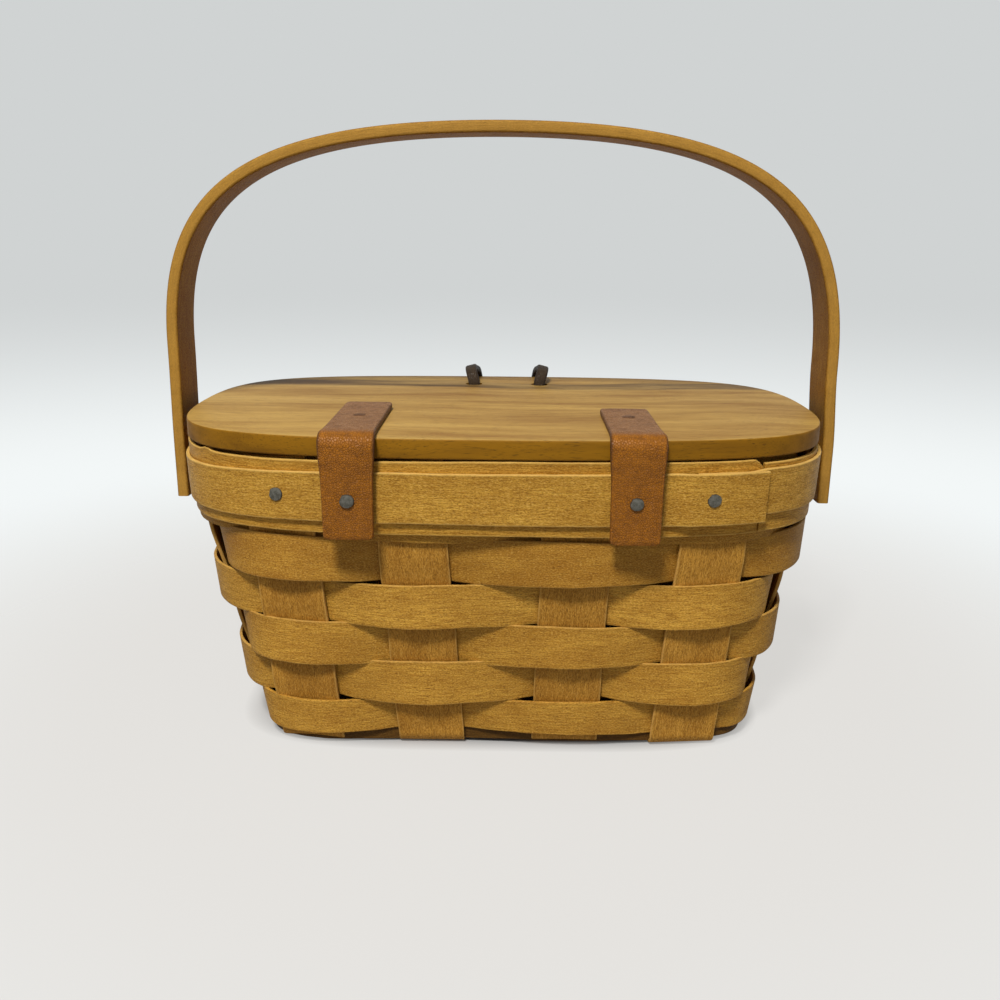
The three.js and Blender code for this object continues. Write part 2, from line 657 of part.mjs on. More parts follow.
function addStrap(side) {
  const x = STRAP_PLACES[side];
  const half = STRAP_WIDTH / 2;
  const onLid = LID_TOP + GAP + STRAP_THICKNESS / 2;
  const middle = STRAP_BEND - STRAP_THICKNESS / 2;
  const wrap = [];
  for (const corner of endCorners(STRAP_CORNER)) {
    wrap.push(strapRing(x, STRAP_REACH[side] - corner.back, onLid, 0, corner.half));
  }
  for (let k = 0; k <= STRAP_BEND_STEPS; k++) {
    const angle = (k / STRAP_BEND_STEPS) * (Math.PI / 2);
    const y = STRAP_MIDDLE_Y + middle * (1 - Math.sin(angle));
    const z = onLid - middle * (1 - Math.cos(angle));
    wrap.push(strapRing(x, y, z, angle, half));
  }
  wrap.push(strapRing(x, STRAP_MIDDLE_Y, HINGE_Z + FLEX, Math.PI / 2, half));
  const tackY = LID_TACK_Y[side];
  const lidTack = new THREE.Vector3(x, tackY, LID_TOP + 2 * GAP + STRAP_THICKNESS);
  const lidTackHole = rod(TACK_SHANK + HOLE_GAP, HOLE_LENGTH, lidTack, UPWARDS, HOLE_SIDES);
  addPiece(lid, `strap_wrap_${side}`, cut(loft(wrap), [lidTackHole]), MATERIALS.leather);

  const tail = [strapRing(x, STRAP_MIDDLE_Y, HINGE_Z - FLEX, Math.PI / 2, half)];
  for (const corner of endCorners(TAIL_CORNER).reverse()) {
    tail.push(strapRing(x, STRAP_MIDDLE_Y, STRAP_FOOT[side] + corner.back, Math.PI / 2, corner.half));
  }
  const rimTack = new THREE.Vector3(x, STRAP_FRONT_Y - GAP, FASTENER_Z);
  const rimTackHole = rod(TACK_SHANK + HOLE_GAP, HOLE_LENGTH, rimTack, TOWARDS_HINGE, HOLE_SIDES);
  rimHoles.push(rimTackHole);
  addPiece(basket, `strap_tail_${side}`, cut(loft(tail), [rimTackHole]), MATERIALS.leather);

  const shankInLid = 2 * GAP + STRAP_THICKNESS + LID_TACK_DEPTH;
  const lidNail = nailGeometry(TACK_HEAD, TACK_HEAD_HEIGHT, TACK_SHANK, shankInLid);
  placeTurned(lid, `strap_tack_lid_${side}`, lidNail, lidTack, UPWARDS, MATERIALS.tack);
  const pilotDepth = LID_TACK_DEPTH + HOLE_GAP;
  const pilotMiddle = new THREE.Vector3(x, tackY, LID_TOP - pilotDepth + HOLE_LENGTH / 2);
  lidHoles.push(rod(TACK_SHANK + HOLE_GAP, HOLE_LENGTH, pilotMiddle, UPWARDS, HOLE_SIDES));

  const inside = wallAt(nearShare(x, FASTENER_Z), FASTENER_Z).point.y - RIM_INSIDE;
  const shankInRim = inside - rimTack.y + SHANK_END;
  const rimNail = nailGeometry(TACK_HEAD, TACK_HEAD_HEIGHT, TACK_SHANK, shankInRim);
  placeTurned(basket, `strap_tack_rim_${side}`, rimNail, rimTack, TOWARDS_HINGE, MATERIALS.tack);
}

addStrap("left");
addStrap("right");

// Thong loop: knotted under two holes in the lid, over the front edge and round the knob's neck
const THONG_STATIONS = 56;
const KNOT_LENGTH = 8;
const THONG_BELOW_LID = 1; // from the lid's underside to the knot
// Half of the loop over the lid: outward from its hole, forward from it, and up from the lid's top
const THONG_OVER_LID = [
  [0, 0, 0.6],
  [0.9, 1.6, 3.8],
  [1.4, 6.2, 5.2],
  [0.9, 13, 4],
  [0, 18.4, 2.4],
];
// Down the rim to the knob: inward from the hole, and down from the lid's top
const THONG_DOWN_RIM = [
  [0.6, 1.2],
  [2.2, 7.5],
  [4.6, 13],
];
const THONG_TURN = [0, Math.PI / 4]; // angles round the underside of the knob's neck
const THONG_SECTION = [[-1, -0.3], [0, -1], [1, -0.3], [1, 0.3], [0, 1], [-1, 0.3]];
const KNOT_ROUNDNESS = 1.3;

function thongPath() {
  const hole = THONG_HOLE_SPACING / 2;
  const turn = KNOB_NECK + 2 * GAP + THONG_WIDTH / 2;
  const front = KNOB_SEAT_Y + GAP + THONG_THICKNESS / 2;
  const y = THONG_HOLE_Y;
  const half = [
    [hole, y, LID_UNDERSIDE - KNOT_LENGTH],
    [hole, y, LID_UNDERSIDE - THONG_BELOW_LID],
    ...THONG_OVER_LID.map(([out, forward, up]) => [hole + out, y + forward, LID_TOP + up]),
    ...THONG_DOWN_RIM.map(([inward, down]) => [hole - inward, front, LID_TOP - down]),
    ...THONG_TURN.map((angle) => [turn * Math.cos(angle), front, KNOB_Z - turn * Math.sin(angle)]),
  ];
  const bottom = [[0, front, KNOB_Z - turn]];
  const other = half.map(([across, back, up]) => [-across, back, up]);
  const points = [...other, ...bottom, ...half.reverse()];
  return new THREE.CatmullRomCurve3(
    points.map(([across, back, up]) => new THREE.Vector3(CLOSURE_X + across, back, up)),
    false,
    "centripetal",
  );
}

function addThong() {
  const path = thongPath();
  const length = path.getLength();
  const frames = path.computeFrenetFrames(THONG_STATIONS, false);
  const rings = [];
  for (let i = 0; i <= THONG_STATIONS; i++) {
    const share = i / THONG_STATIONS;
    const point = path.getPointAt(share);
    const fromEnd = Math.min(share, 1 - share) * length;
    const inKnot = Math.min(1, fromEnd / KNOT_LENGTH);
    const swell = Math.sin(inKnot * Math.PI) * THONG_KNOT;
    const halfWidth = THONG_WIDTH / 2 + swell;
    const halfThickness = THONG_THICKNESS / 2 + swell * KNOT_ROUNDNESS;
    rings.push(THONG_SECTION.map(([w, t]) => point.clone()
      .addScaledVector(frames.binormals[i], w * halfWidth)
      .addScaledVector(frames.normals[i], t * halfThickness)));
  }
  addPiece(lid, "closure_thong", loft(rings), MATERIALS.thong);
  for (const across of [-1, 1]) {
    const x = CLOSURE_X + (across * THONG_HOLE_SPACING) / 2;
    const centre = new THREE.Vector3(x, THONG_HOLE_Y, LID_TOP);
    lidHoles.push(rod(THONG_HOLE_RADIUS, HOLE_LENGTH, centre, UPWARDS, ROUND_SIDES));
  }
}

addThong();
addLidBoard();

// Bands round the rim
const BAND_STATIONS = 72;

function bandGeometry(from, turns, offsetAt, bottom, top) {
  const rings = [];
  const count = Math.ceil(BAND_STATIONS * turns);
  for (let i = 0; i <= count; i++) {
    const share = from + (turns * i) / count;
    rings.push(stripRing(share, offsetAt(share), BAND_THICKNESS, bottom, top));
  }
  return loft(rings);
}

function addBands() {
  const seam = BAND_SEAM / roundWall(FASTENER_Z);
  const innerBottom = INNER_BAND_TOP - OUTER_BAND_WIDTH;
  const inner = bandGeometry(INNER_BAND_SEAM, 1 - seam, () => INNER_BAND_OFFSET, innerBottom, INNER_BAND_TOP);
  addPiece(basket, "inner_band", cut(inner, rimHoles), MATERIALS.splint);

  const underFrom = nearShare(UNDER_BAND_SEAM_X, FASTENER_Z);
  const underBottom = UNDER_BAND_TOP - UNDER_BAND_WIDTH;
  const under = bandGeometry(underFrom, 1 - seam, () => UNDER_BAND_OFFSET, underBottom, UNDER_BAND_TOP);
  addPiece(basket, "under_band", cut(under, rimHoles), MATERIALS.splint);

  const hiddenEnd = nearShare(LAP_START_X, FASTENER_Z);
  const shownEnd = nearShare(LAP_END_X, FASTENER_Z);
  const rise = LAP_RISE / roundWall(FASTENER_Z);
  const turns = 1 + shownEnd - hiddenEnd;
  const climb = (share) => {
    const part = THREE.MathUtils.smoothstep(share, hiddenEnd + 1 - rise, hiddenEnd + 1 - seam);
    return THREE.MathUtils.lerp(OUTER_BAND_OFFSET, LAP_OFFSET, part);
  };
  const outerBottom = OUTER_BAND_TOP - OUTER_BAND_WIDTH;
  const outer = bandGeometry(hiddenEnd, turns, climb, outerBottom, OUTER_BAND_TOP);
  addPiece(basket, "outer_band", cut(outer, rimHoles), MATERIALS.splint);
}

addBands();
for (const mesh of uprightMeshes) mesh.geometry = cut(mesh.geometry, rimHoles);

// Handle: one steam-bent strip, in its own frame about the rivets' axis
const CROWN_STEPS = 12;

function handleStations() {
  const down = (z) => z - FASTENER_Z;
  const foot = new THREE.Vector3(HANDLE_FOOT_HALF_SPAN, 0, down(HANDLE_FOOT_Z));
  const straightTop = new THREE.Vector3(HANDLE_FOOT_HALF_SPAN, 0, down(HANDLE_STRAIGHT_TOP));
  const shoulder = new THREE.Vector3(HANDLE_SHOULDER_HALF_SPAN, 0, down(HANDLE_SHOULDER_Z));
  const shoulderPull = shoulder.clone().add(new THREE.Vector3(0, 0, HANDLE_SHOULDER_PULL));
  const crown = new THREE.Vector3(0, 0, down(HANDLE_CROWN_Z));
  const crownPull = crown.clone().add(new THREE.Vector3(HANDLE_CROWN_PULL, 0, 0));
  const arch = new THREE.CubicBezierCurve3(shoulder, shoulderPull, crownPull, crown);
  const upright = new THREE.Vector3(0, 0, 1);
  const side = [
    { point: foot, tangent: upright },
    { point: straightTop, tangent: upright },
  ];
  for (let k = 0; k <= CROWN_STEPS; k++) {
    side.push({ point: arch.getPoint(k / CROWN_STEPS), tangent: arch.getTangent(k / CROWN_STEPS) });
  }
  const other = side.slice(0, -1).reverse().map(({ point, tangent }) => ({
    point: new THREE.Vector3(-point.x, 0, point.z),
    tangent: new THREE.Vector3(tangent.x, 0, -tangent.z),
  }));
  return [...side, ...other];
}

function addHandle() {
  handle.position.z = FASTENER_Z;
  const wide = HANDLE_WIDTH / 2;
  const thick = HANDLE_THICKNESS / 2;
  const c = HANDLE_CHAMFER;
  const section = [
    [-wide, -thick + c],
    [-wide + c, -thick],
    [wide - c, -thick],
    [wide, -thick + c],
    [wide, thick - c],
    [wide - c, thick],
    [-wide + c, thick],
    [-wide, thick - c],
  ];
  const rings = handleStations().map(({ point, tangent }) => {
    const out = new THREE.Vector3(tangent.z, 0, -tangent.x);
    return section.map(([along, depth]) => point.clone()
      .addScaledVector(out, depth)
      .add(new THREE.Vector3(0, along, 0)));
  });
  const axis = new THREE.Vector3(1, 0, 0);
  const holes = [-1, 1].map((side) => {
    const centre = new THREE.Vector3(side * HANDLE_FOOT_HALF_SPAN, 0, 0);
    return rod(RIVET_SHANK + HOLE_GAP, HOLE_LENGTH / 2, centre, axis, ROUND_SIDES);
  });
  addPiece(handle, "handle_hoop", cut(loft(rings), holes), MATERIALS.bentwood);
}

addHandle();

// The purse stands with the middle of its whole depth over the origin.
const knobReach = KNOB_SEAT_Y + KNOB_LENGTH;
const tackReach = STRAP_FRONT_Y - GAP - TACK_HEAD_HEIGHT;
purse.position.y = -(knobReach + tackReach) / 2;

export default basketPurse;
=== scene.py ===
# %% [markdown]
# # A small woven purse of wood splints
# The purse is an oval basket of thin splints under a board lid. Bent bands hold its rim, two leather straps
# are the lid's hinge, and a bentwood handle swings on two rivets.
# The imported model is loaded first. It is the fixed frame: it says where each part lies and what moves with
# what, and every piece made here is placed from the same sizes. The lengths of the purse are in millimetres
# until it is placed in the frame, which is in metres.

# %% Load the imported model
import math

import bmesh
import bpy
import numpy as np
from mathutils import Matrix, Vector


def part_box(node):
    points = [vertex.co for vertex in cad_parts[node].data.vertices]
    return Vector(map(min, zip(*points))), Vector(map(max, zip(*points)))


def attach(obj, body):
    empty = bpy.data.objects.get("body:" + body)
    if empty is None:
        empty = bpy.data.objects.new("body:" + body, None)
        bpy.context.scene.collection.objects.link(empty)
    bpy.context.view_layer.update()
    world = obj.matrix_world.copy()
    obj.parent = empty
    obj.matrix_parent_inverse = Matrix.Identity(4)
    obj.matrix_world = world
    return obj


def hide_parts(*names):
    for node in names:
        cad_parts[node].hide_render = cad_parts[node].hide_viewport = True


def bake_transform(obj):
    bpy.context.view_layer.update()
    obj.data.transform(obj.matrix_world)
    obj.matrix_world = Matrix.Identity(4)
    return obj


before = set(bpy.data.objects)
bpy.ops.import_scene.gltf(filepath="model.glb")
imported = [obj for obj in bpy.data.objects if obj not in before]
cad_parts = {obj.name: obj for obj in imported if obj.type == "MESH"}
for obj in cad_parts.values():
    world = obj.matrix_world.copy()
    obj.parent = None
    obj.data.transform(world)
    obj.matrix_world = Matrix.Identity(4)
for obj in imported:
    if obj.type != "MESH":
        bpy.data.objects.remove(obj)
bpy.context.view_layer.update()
MM = 0.001
lid_low, lid_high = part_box("lid_board")
MIDDLE_Y = (lid_low.y + lid_high.y) / 2 / MM

# %% [markdown]
# ## The camera
# The view is from the hinged side, a little above the lid. The place and the three angles were worked out
# from the outline of the lid, the rim and the handle, so that each edge falls where the photograph has it.
# A camera looks along its own -Z with +Y up, so its matrix is built from the directions right, up and back.

# %% Camera
CAMERA_AT = Vector((2.2, -346.02, 166.62)) * MM
YAW, PITCH, ROLL = (math.radians(angle) for angle in (-0.51, 15.59, -0.52))
LENS = 36


def show(name, data):
    """Put a new object in the scene."""
    made = bpy.data.objects.new(name, data)
    bpy.context.scene.collection.objects.link(made)
    return made


def aim_camera():
    ahead = Vector((math.sin(YAW) * math.cos(PITCH), math.cos(YAW) * math.cos(PITCH), -math.sin(PITCH)))
    level_right = Vector((math.cos(YAW), -math.sin(YAW), 0))
    level_down = ahead.cross(level_right)
    right = level_right * math.cos(ROLL) + level_down * math.sin(ROLL)
    down = level_down * math.cos(ROLL) - level_right * math.sin(ROLL)
    data = bpy.data.cameras.new("camera")
    data.lens = data.sensor_width = LENS
    camera = show("camera", data)
    turned_to = Matrix((right, -down, -ahead)).transposed().to_4x4()
    camera.matrix_world = Matrix.Translation(CAMERA_AT) @ turned_to
    bpy.context.scene.camera = camera


aim_camera()
bpy.context.scene.view_settings.view_transform = "Standard"
print("camera at", tuple(round(v, 4) for v in CAMERA_AT))

# %% [markdown]
# ## Shader nodes in code
# A material is a small network. A few helpers keep the code short: the first adds a node, and gives each of
# its inputs a value or joins another node's output to it. The others wrap the nodes that come up most.
# Colours are written as the 0 to 255 values of a picture and turned into Blender's linear values.


# %% Node helpers
def add(tree, kind, inputs=None, **settings):
    made = tree.nodes.new(kind)
    for name, value in settings.items():
        setattr(made, name, value)
    for name, value in (inputs or {}).items():
        if isinstance(value, bpy.types.NodeSocket):
            tree.links.new(value, made.inputs[name])
        else:
            made.inputs[name].default_value = value
    return made


def calc(tree, operation, *values, clamp=False):
    made = add(tree, "ShaderNodeMath", dict(enumerate(values)), operation=operation, use_clamp=clamp)
    return made.outputs["Value"]


def vector(tree, operation, *values):
    made = add(tree, "ShaderNodeVectorMath", dict(enumerate(values)), operation=operation)
    return made.outputs["Value" if operation == "LENGTH" else "Vector"]


def noise(tree, place, scale, detail, roughness=0.5, output="Fac"):
    inputs = {"Vector": place, "Scale": scale, "Detail": detail, "Roughness": roughness}
    return add(tree, "ShaderNodeTexNoise", inputs).outputs[output]


def ranged(tree, source, low, high, to_low=0.0, to_high=1.0, kind="LINEAR"):
    limits = {"Value": source, "From Min": low, "From Max": high, "To Min": to_low, "To Max": to_high}
    return add(tree, "ShaderNodeMapRange", limits, interpolation_type=kind).outputs["Result"]


def mixed(tree, share, first, second):
    return add(tree, "ShaderNodeMix", {0: share, 6: first, 7: second}, data_type="RGBA").outputs[2]


def blended(tree, share, first, second):
    return add(tree, "ShaderNodeMixShader", {"Fac": share, 1: first, 2: second}).outputs["Shader"]


def parts_of(tree, place):
    return add(tree, "ShaderNodeSeparateXYZ", {"Vector": place}).outputs


def colour(red, green, blue):
    shares = [value / 255 for value in (red, green, blue)]
    return (*[s / 12.92 if s <= 0.04045 else ((s + 0.055) / 1.055) ** 2.4 for s in shares], 1)


print("honey gold in linear values", [round(v, 3) for v in colour(178, 134, 62)])

# %% [markdown]
# ## Floor, background and light
# The purse stands on a white sheet in soft light. The floor is a large disc that fades out with the distance
# from the purse, so that no edge shows where it ends, from any side. To the camera the sheet glows a little,
# as an overexposed white does, but not under the purse nor in a ring round its foot: there the floor is
# darker, a painted contact shade on top of its real shadow.

# %% Floor
FLOOR_RADIUS, FLOOR_SIDES = 3.0, 96
FLOOR_FADE = (0.13, 0.4)
FLOOR_GLOW = 0.7
FOOT_PRINT = (1 / 0.083, 1 / 0.049, 0)
# Where the glow fades in round the foot; the darker ring inside it is painted contact shade
CONTACT_SHADE_FADE = (0.9, 1.22)


def sheet_material():
    material = bpy.data.materials.new("white sheet")
    material.use_nodes = True
    tree = material.node_tree
    tree.nodes.clear()
    place = add(tree, "ShaderNodeTexCoord").outputs["Object"]
    scaled = vector(tree, "MULTIPLY", place, FOOT_PRINT)
    from_foot = vector(tree, "LENGTH", vector(tree, "MULTIPLY", scaled, scaled))
    seen = add(tree, "ShaderNodeLightPath").outputs["Is Camera Ray"]
    # No glow near the foot, which paints a darker contact shade there
    share = calc(tree, "MULTIPLY", seen, ranged(tree, from_foot, *CONTACT_SHADE_FADE, 0, FLOOR_GLOW))
    lit = add(tree, "ShaderNodeBsdfPrincipled", {"Base Color": colour(170, 168, 165), "Roughness": 0.9})
    glow = add(tree, "ShaderNodeEmission", {"Color": colour(246, 244, 240), "Strength": 1.0})
    sheet = blended(tree, share, lit.outputs["BSDF"], glow.outputs["Emission"])
    fade = ranged(tree, vector(tree, "LENGTH", place), *FLOOR_FADE, kind="SMOOTHSTEP")
    clear = add(tree, "ShaderNodeBsdfTransparent").outputs["BSDF"]
    add(tree, "ShaderNodeOutputMaterial", {"Surface": blended(tree, fade, sheet, clear)})
    return material


def make_floor():
    angles = np.linspace(0, 2 * math.pi, FLOOR_SIDES, endpoint=False)
    ring = [(FLOOR_RADIUS * math.cos(a), FLOOR_RADIUS * math.sin(a), 0) for a in angles]
    mesh = bpy.data.meshes.new("floor")
    mesh.from_pydata(ring, [], [tuple(range(FLOOR_SIDES))])
    mesh.materials.append(sheet_material())
    show("floor", mesh)


make_floor()

# %% [markdown]
# The world is a pale studio wall, lighter towards the floor, where the camera, a reflection or a clear
# material looks at it. For everything else it is a dim even sky, so that the lamps make the shadows.

# %% World
WALL_LOW, WALL_HIGH = colour(243, 247, 247), colour(208, 211, 211)
WALL_RISE = (-0.23, -0.06)
SKY, SKY_LIGHT = colour(250, 251, 255), 0.24


def make_world():
    world = bpy.data.worlds.new("studio")
    world.use_nodes = True
    bpy.context.scene.world = world
    tree = world.node_tree
    tree.nodes.clear()
    height = parts_of(tree, add(tree, "ShaderNodeTexCoord").outputs["Generated"])["Z"]
    wall_colour = mixed(tree, ranged(tree, height, *WALL_RISE, kind="SMOOTHSTEP"), WALL_LOW, WALL_HIGH)
    seen = add(tree, "ShaderNodeBackground", {"Color": wall_colour, "Strength": 1.0})
    sky = add(tree, "ShaderNodeBackground", {"Color": SKY, "Strength": SKY_LIGHT})
    rays = add(tree, "ShaderNodeLightPath").outputs
    direct = calc(tree, "MAXIMUM", rays["Is Camera Ray"], rays["Is Glossy Ray"])
    share = calc(tree, "MAXIMUM", direct, rays["Is Transmission Ray"])
    both = blended(tree, share, sky.outputs["Background"], seen.outputs["Background"])
    add(tree, "ShaderNodeOutputWorld", {"Surface": both})


make_world()

# %% [markdown]
# The main light is a lamp high in front of the purse. Its shadows fall downwards: each splint shades the
# one below it, which is what makes the weave readable. A second, wide lamp fills the front softly.

# %% Lamps
LAMP_TARGET = Vector((0, 0, 0.07))


def add_lamp(name, place, size, watts):
    data = bpy.data.lights.new(name, "AREA")
    data.shape = "SQUARE"
    data.size = size
    data.energy = watts
    lamp = show(name, data)
    lamp.location = place
    lamp.rotation_euler = (LAMP_TARGET - Vector(place)).to_track_quat("-Z", "Y").to_euler()


add_lamp("overhead lamp", (-0.22, -0.8, 1.2), 0.22, 19.3)
add_lamp("front lamp", (-0.3, -1.3, 0.9), 0.9, 0.7)

# %% [markdown]
# ## The wall of the basket
# Every splint follows the wall, and the wall is a rule: an oval of four Bezier quarters at each height,
# larger at the rim than at the foot. A place on it is a share of the way round, counted anticlockwise from
# the right end, and a height.

# %% Wall outline
RIM_Z, FOOT_Z = 76, 6
RIM_HALF, FOOT_HALF = (99.5, 56.6), (80.5, 45.5)
RIM_FLARE = 0.05
RIM_SQUARENESS, FOOT_SQUARENESS = 0.85, 1.1
FOOT_SHIFT = 1.3
QUARTERS, QUARTER_STEPS = ((1, 1), (-1, 1), (-1, -1), (1, -1)), 160
outline_tables = {}


def bezier(t, pulls):
    curve = (1 - t) ** 3 * pulls[0] + 3 * (1 - t) ** 2 * t * pulls[1]
    return curve + 3 * (1 - t) * t**2 * pulls[2] + t**3 * pulls[3]


def oval(half_length, half_depth, squareness, shift=0.0):
    t = np.linspace(0, 1, QUARTER_STEPS, endpoint=False)[:, None]
    quarters = []
    for sx, sy in QUARTERS:
        pulls = np.array([[sx, 0], [sx, sy * squareness], [sx * squareness, sy], [0, sy]], float)
        quarters.append(bezier(t, pulls[::-1] if sx * sy < 0 else pulls))
    points = np.concatenate([*quarters, quarters[0][:1]])
    return points * (half_length, half_depth) + (shift, 0)


def foot_to_rim(z):
    return min(max((z - FOOT_Z) / (RIM_Z - FOOT_Z), 0), 1)


def unit(vectors):
    return vectors / np.linalg.norm(vectors, axis=1)[:, None]


def distances(points):
    """How far each point of a line lies along it."""
    return np.concatenate([[0], np.cumsum(np.linalg.norm(np.diff(points, axis=0), axis=1))])


def outline_table(z):
    key = round(z, 3)
    if key not in outline_tables:
        share = foot_to_rim(z)
        rise = max(0, z - RIM_Z) * RIM_FLARE
        half = [foot + (rim - foot) * share + rise for foot, rim in zip(FOOT_HALF, RIM_HALF)]
        squareness = FOOT_SQUARENESS + (RIM_SQUARENESS - FOOT_SQUARENESS) * share
        points = oval(*half, squareness, FOOT_SHIFT * (1 - share))
        length = distances(points)
        tangents = np.gradient(points, axis=0)
        tangents[0] = tangents[-1] = (0, 1)
        outline_tables[key] = (length / length[-1], points, unit(tangents), length[-1])
    return outline_tables[key]


def wall(shares, z):
    """Points of the wall at one height, with the outward directions there."""
    table, points, tangents, _ = outline_table(z)
    where = np.mod(np.atleast_1d(shares), 1)
    at = np.column_stack([np.interp(where, table, points[:, i]) for i in (0, 1)])
    along = np.column_stack([np.interp(where, table, tangents[:, i]) for i in (0, 1)])
    out = np.column_stack([along[:, 1], -along[:, 0], np.zeros(len(where))])
    return np.column_stack([at, np.full(len(where), float(z))]), unit(out)


def round_wall(z):
    return outline_table(z)[3]


print("round the rim", round(round_wall(RIM_Z), 1), "mm, round the foot", round(round_wall(FOOT_Z), 1), "mm")

# %% [markdown]
# The uprights are at fixed places along and across the purse. The front-to-back ones spread a little on their
# way up. A search turns such a place into a share of the way round.

# %% Places on the wall
LENGTHWAYS_PLACES, LENGTHWAYS_LEANS = (-64, -24.3, 22, 62.3), (-0.07, -0.06, 0.02, 0.06)
LEAN_Z = 38
CROSSWAYS_PLACES = (-18, 18)
NEAR_SIDE, RIGHT_END = (0.5, 0.9999), (-0.2499, 0.2499)


def share_where(axis, place, z, reach):
    """The share at which one side of the wall passes a place."""
    shares = np.linspace(*reach, 2000)
    values = wall(shares, z)[0][:, axis]
    sign = -1 if values[-1] < values[0] else 1
    return float(np.interp(sign * place, sign * values, shares))


def near_share(x, z):
    return share_where(0, x, z, NEAR_SIDE)


def right_share(y, z):
    return share_where(1, y, z, RIGHT_END)


def lengthways_share(number, z):
    return near_share(LENGTHWAYS_PLACES[number] + LENGTHWAYS_LEANS[number] * (z - LEAN_Z), z)


print("front-to-back splints meet the near rim at", [round(lengthways_share(i, RIM_Z), 4) for i in range(4)])

# %% [markdown]
# ## One tool for every bent strip
# Weavers, uprights, bands and the handle are all the same thing: a flat strip of wood with eased edges, bent
# along a path. A Geometry Nodes tree makes them. It reads a line of points and, at each point, the direction
# of the strip's width, and sweeps a rounded rectangle along it. It also stores where each point of the
# surface lies in the strip, along, across and through it, so that the wood's grain follows every bend.


# %% Geometry helpers
def new_group(name, kind, inputs, outputs):
    tree = bpy.data.node_groups.new(name, kind)
    for direction, sockets in (("INPUT", inputs), ("OUTPUT", outputs)):
        for socket_name, value_kind, *default in sockets:
            full_kind = f"NodeSocket{value_kind}"
            socket = tree.interface.new_socket(socket_name, in_out=direction, socket_type=full_kind)
            if default:
                socket.default_value = default[0]
    return tree, tree.nodes.new("NodeGroupInput").outputs, tree.nodes.new("NodeGroupOutput")


def named(tree, name, kind="FLOAT_VECTOR"):
    return add(tree, "GeometryNodeInputNamedAttribute", {"Name": name}, data_type=kind).outputs["Attribute"]


def store(tree, geometry, name, value, kind="FLOAT_VECTOR"):
    inputs = {"Geometry": geometry, "Name": name, "Value": value}
    made = add(tree, "GeometryNodeStoreNamedAttribute", inputs, data_type=kind, domain="POINT")
    return made.outputs["Geometry"]


def finish_tree(tree, geometry, material, result):
    """The last two nodes of every tree: real geometry, with its material."""
    real = add(tree, "GeometryNodeRealizeInstances", {"Geometry": geometry}).outputs["Geometry"]
    finish = add(tree, "GeometryNodeSetMaterial", {"Geometry": real, "Material": material})
    tree.links.new(finish.outputs["Geometry"], result.inputs["Geometry"])


# %% Bent strip tree
def make_strip_tree():
    inputs = [("Geometry", "Geometry"), ("Width", "Float", 0.0155), ("Thickness", "Float", 0.001),
              ("Edge rounding", "Float", 0.0003), ("Rounding steps", "Int", 2),
              ("Sharpest bend", "Float", 0.3), ("Grain start", "Float", 0.0), ("Tone", "Float", 0.5),
              ("Material", "Material")]
    tree, given, result = new_group("Bent strip", "GeometryNodeTree", inputs, [("Geometry", "Geometry")])
    line = add(tree, "GeometryNodeMeshToCurve", {"Mesh": given["Geometry"]}).outputs["Curve"]
    far = add(tree, "GeometryNodeSplineParameter").outputs["Length"]
    measured = store(tree, line, "along", far, "FLOAT")
    facing = add(tree, "GeometryNodeSetCurveNormal", {"Curve": measured, "Normal": named(tree, "across")},
                 mode="FREE")
    section = add(tree, "GeometryNodeCurvePrimitiveQuadrilateral",
                  {"Width": given["Width"], "Height": given["Thickness"]})
    eased_section = add(tree, "GeometryNodeFilletCurve",
                        {"Curve": section.outputs["Curve"], "Count": given["Rounding steps"],
                         "Radius": given["Edge rounding"]}, mode="POLY")
    inside = add(tree, "GeometryNodeInputPosition").outputs["Position"]
    marked = store(tree, eased_section.outputs["Curve"], "section", inside)
    swept = add(tree, "GeometryNodeCurveToMesh",
                {"Curve": facing.outputs["Curve"], "Profile Curve": marked, "Fill Caps": True})
    parts = parts_of(tree, named(tree, "section"))
    start = calc(tree, "ADD", named(tree, "along", "FLOAT"), given["Grain start"])
    place = add(tree, "ShaderNodeCombineXYZ", {"X": start, "Y": parts["X"], "Z": parts["Y"]})
    grained = store(tree, swept.outputs["Mesh"], "grain", place.outputs["Vector"])
    toned = store(tree, grained, "tone", given["Tone"], "FLOAT")
    smooth_faces = add(tree, "GeometryNodeSetShadeSmooth", {"Geometry": toned, "Shade Smooth": True},
                       domain="FACE")
    bend = add(tree, "GeometryNodeInputMeshEdgeAngle").outputs["Unsigned Angle"]
    sharp = calc(tree, "GREATER_THAN", bend, given["Sharpest bend"])
    creased = add(tree, "GeometryNodeSetShadeSmooth",
                  {"Geometry": smooth_faces.outputs["Geometry"], "Selection": sharp, "Shade Smooth": False},
                  domain="EDGE")
    finish_tree(tree, creased.outputs["Geometry"], given["Material"], result)
    return tree


strip_tree = make_strip_tree()
print("Bent strip tree has", len(strip_tree.nodes), "nodes")


# %% Strip helpers
def placed(points):
    """Millimetres in the purse's own plan to metres in the frame."""
    return (np.asarray(points, float) + (0, MIDDLE_Y, 0)) * MM


def new_mesh(name, points, edges=(), faces=()):
    mesh = bpy.data.meshes.new(name)
    mesh.from_pydata(placed(points), edges, faces)
    return mesh


def keep(mesh, name, values, kind="FLOAT_VECTOR"):
    """Store values at the points of a mesh."""
    stored = mesh.attributes.new(name, kind, "POINT")
    flat = np.asarray(values).astype(np.float32).ravel()
    stored.data.foreach_set("vector" if kind == "FLOAT_VECTOR" else "value", flat)


def run_tree(name, mesh, tree, values):
    """Run a Geometry Nodes tree on a mesh, and turn the result into the plain mesh of a new object."""
    made = show(name, mesh)
    modifier = made.modifiers.new(tree.name, "NODES")
    modifier.node_group = tree
    for item in tree.interface.items_tree:
        if item.in_out == "INPUT" and item.name in values:
            modifier[item.identifier] = values[item.name]
    graph = bpy.context.evaluated_depsgraph_get()
    plain = bpy.data.meshes.new_from_object(made.evaluated_get(graph), depsgraph=graph)
    made.modifiers.clear()
    made.data = plain
    return made


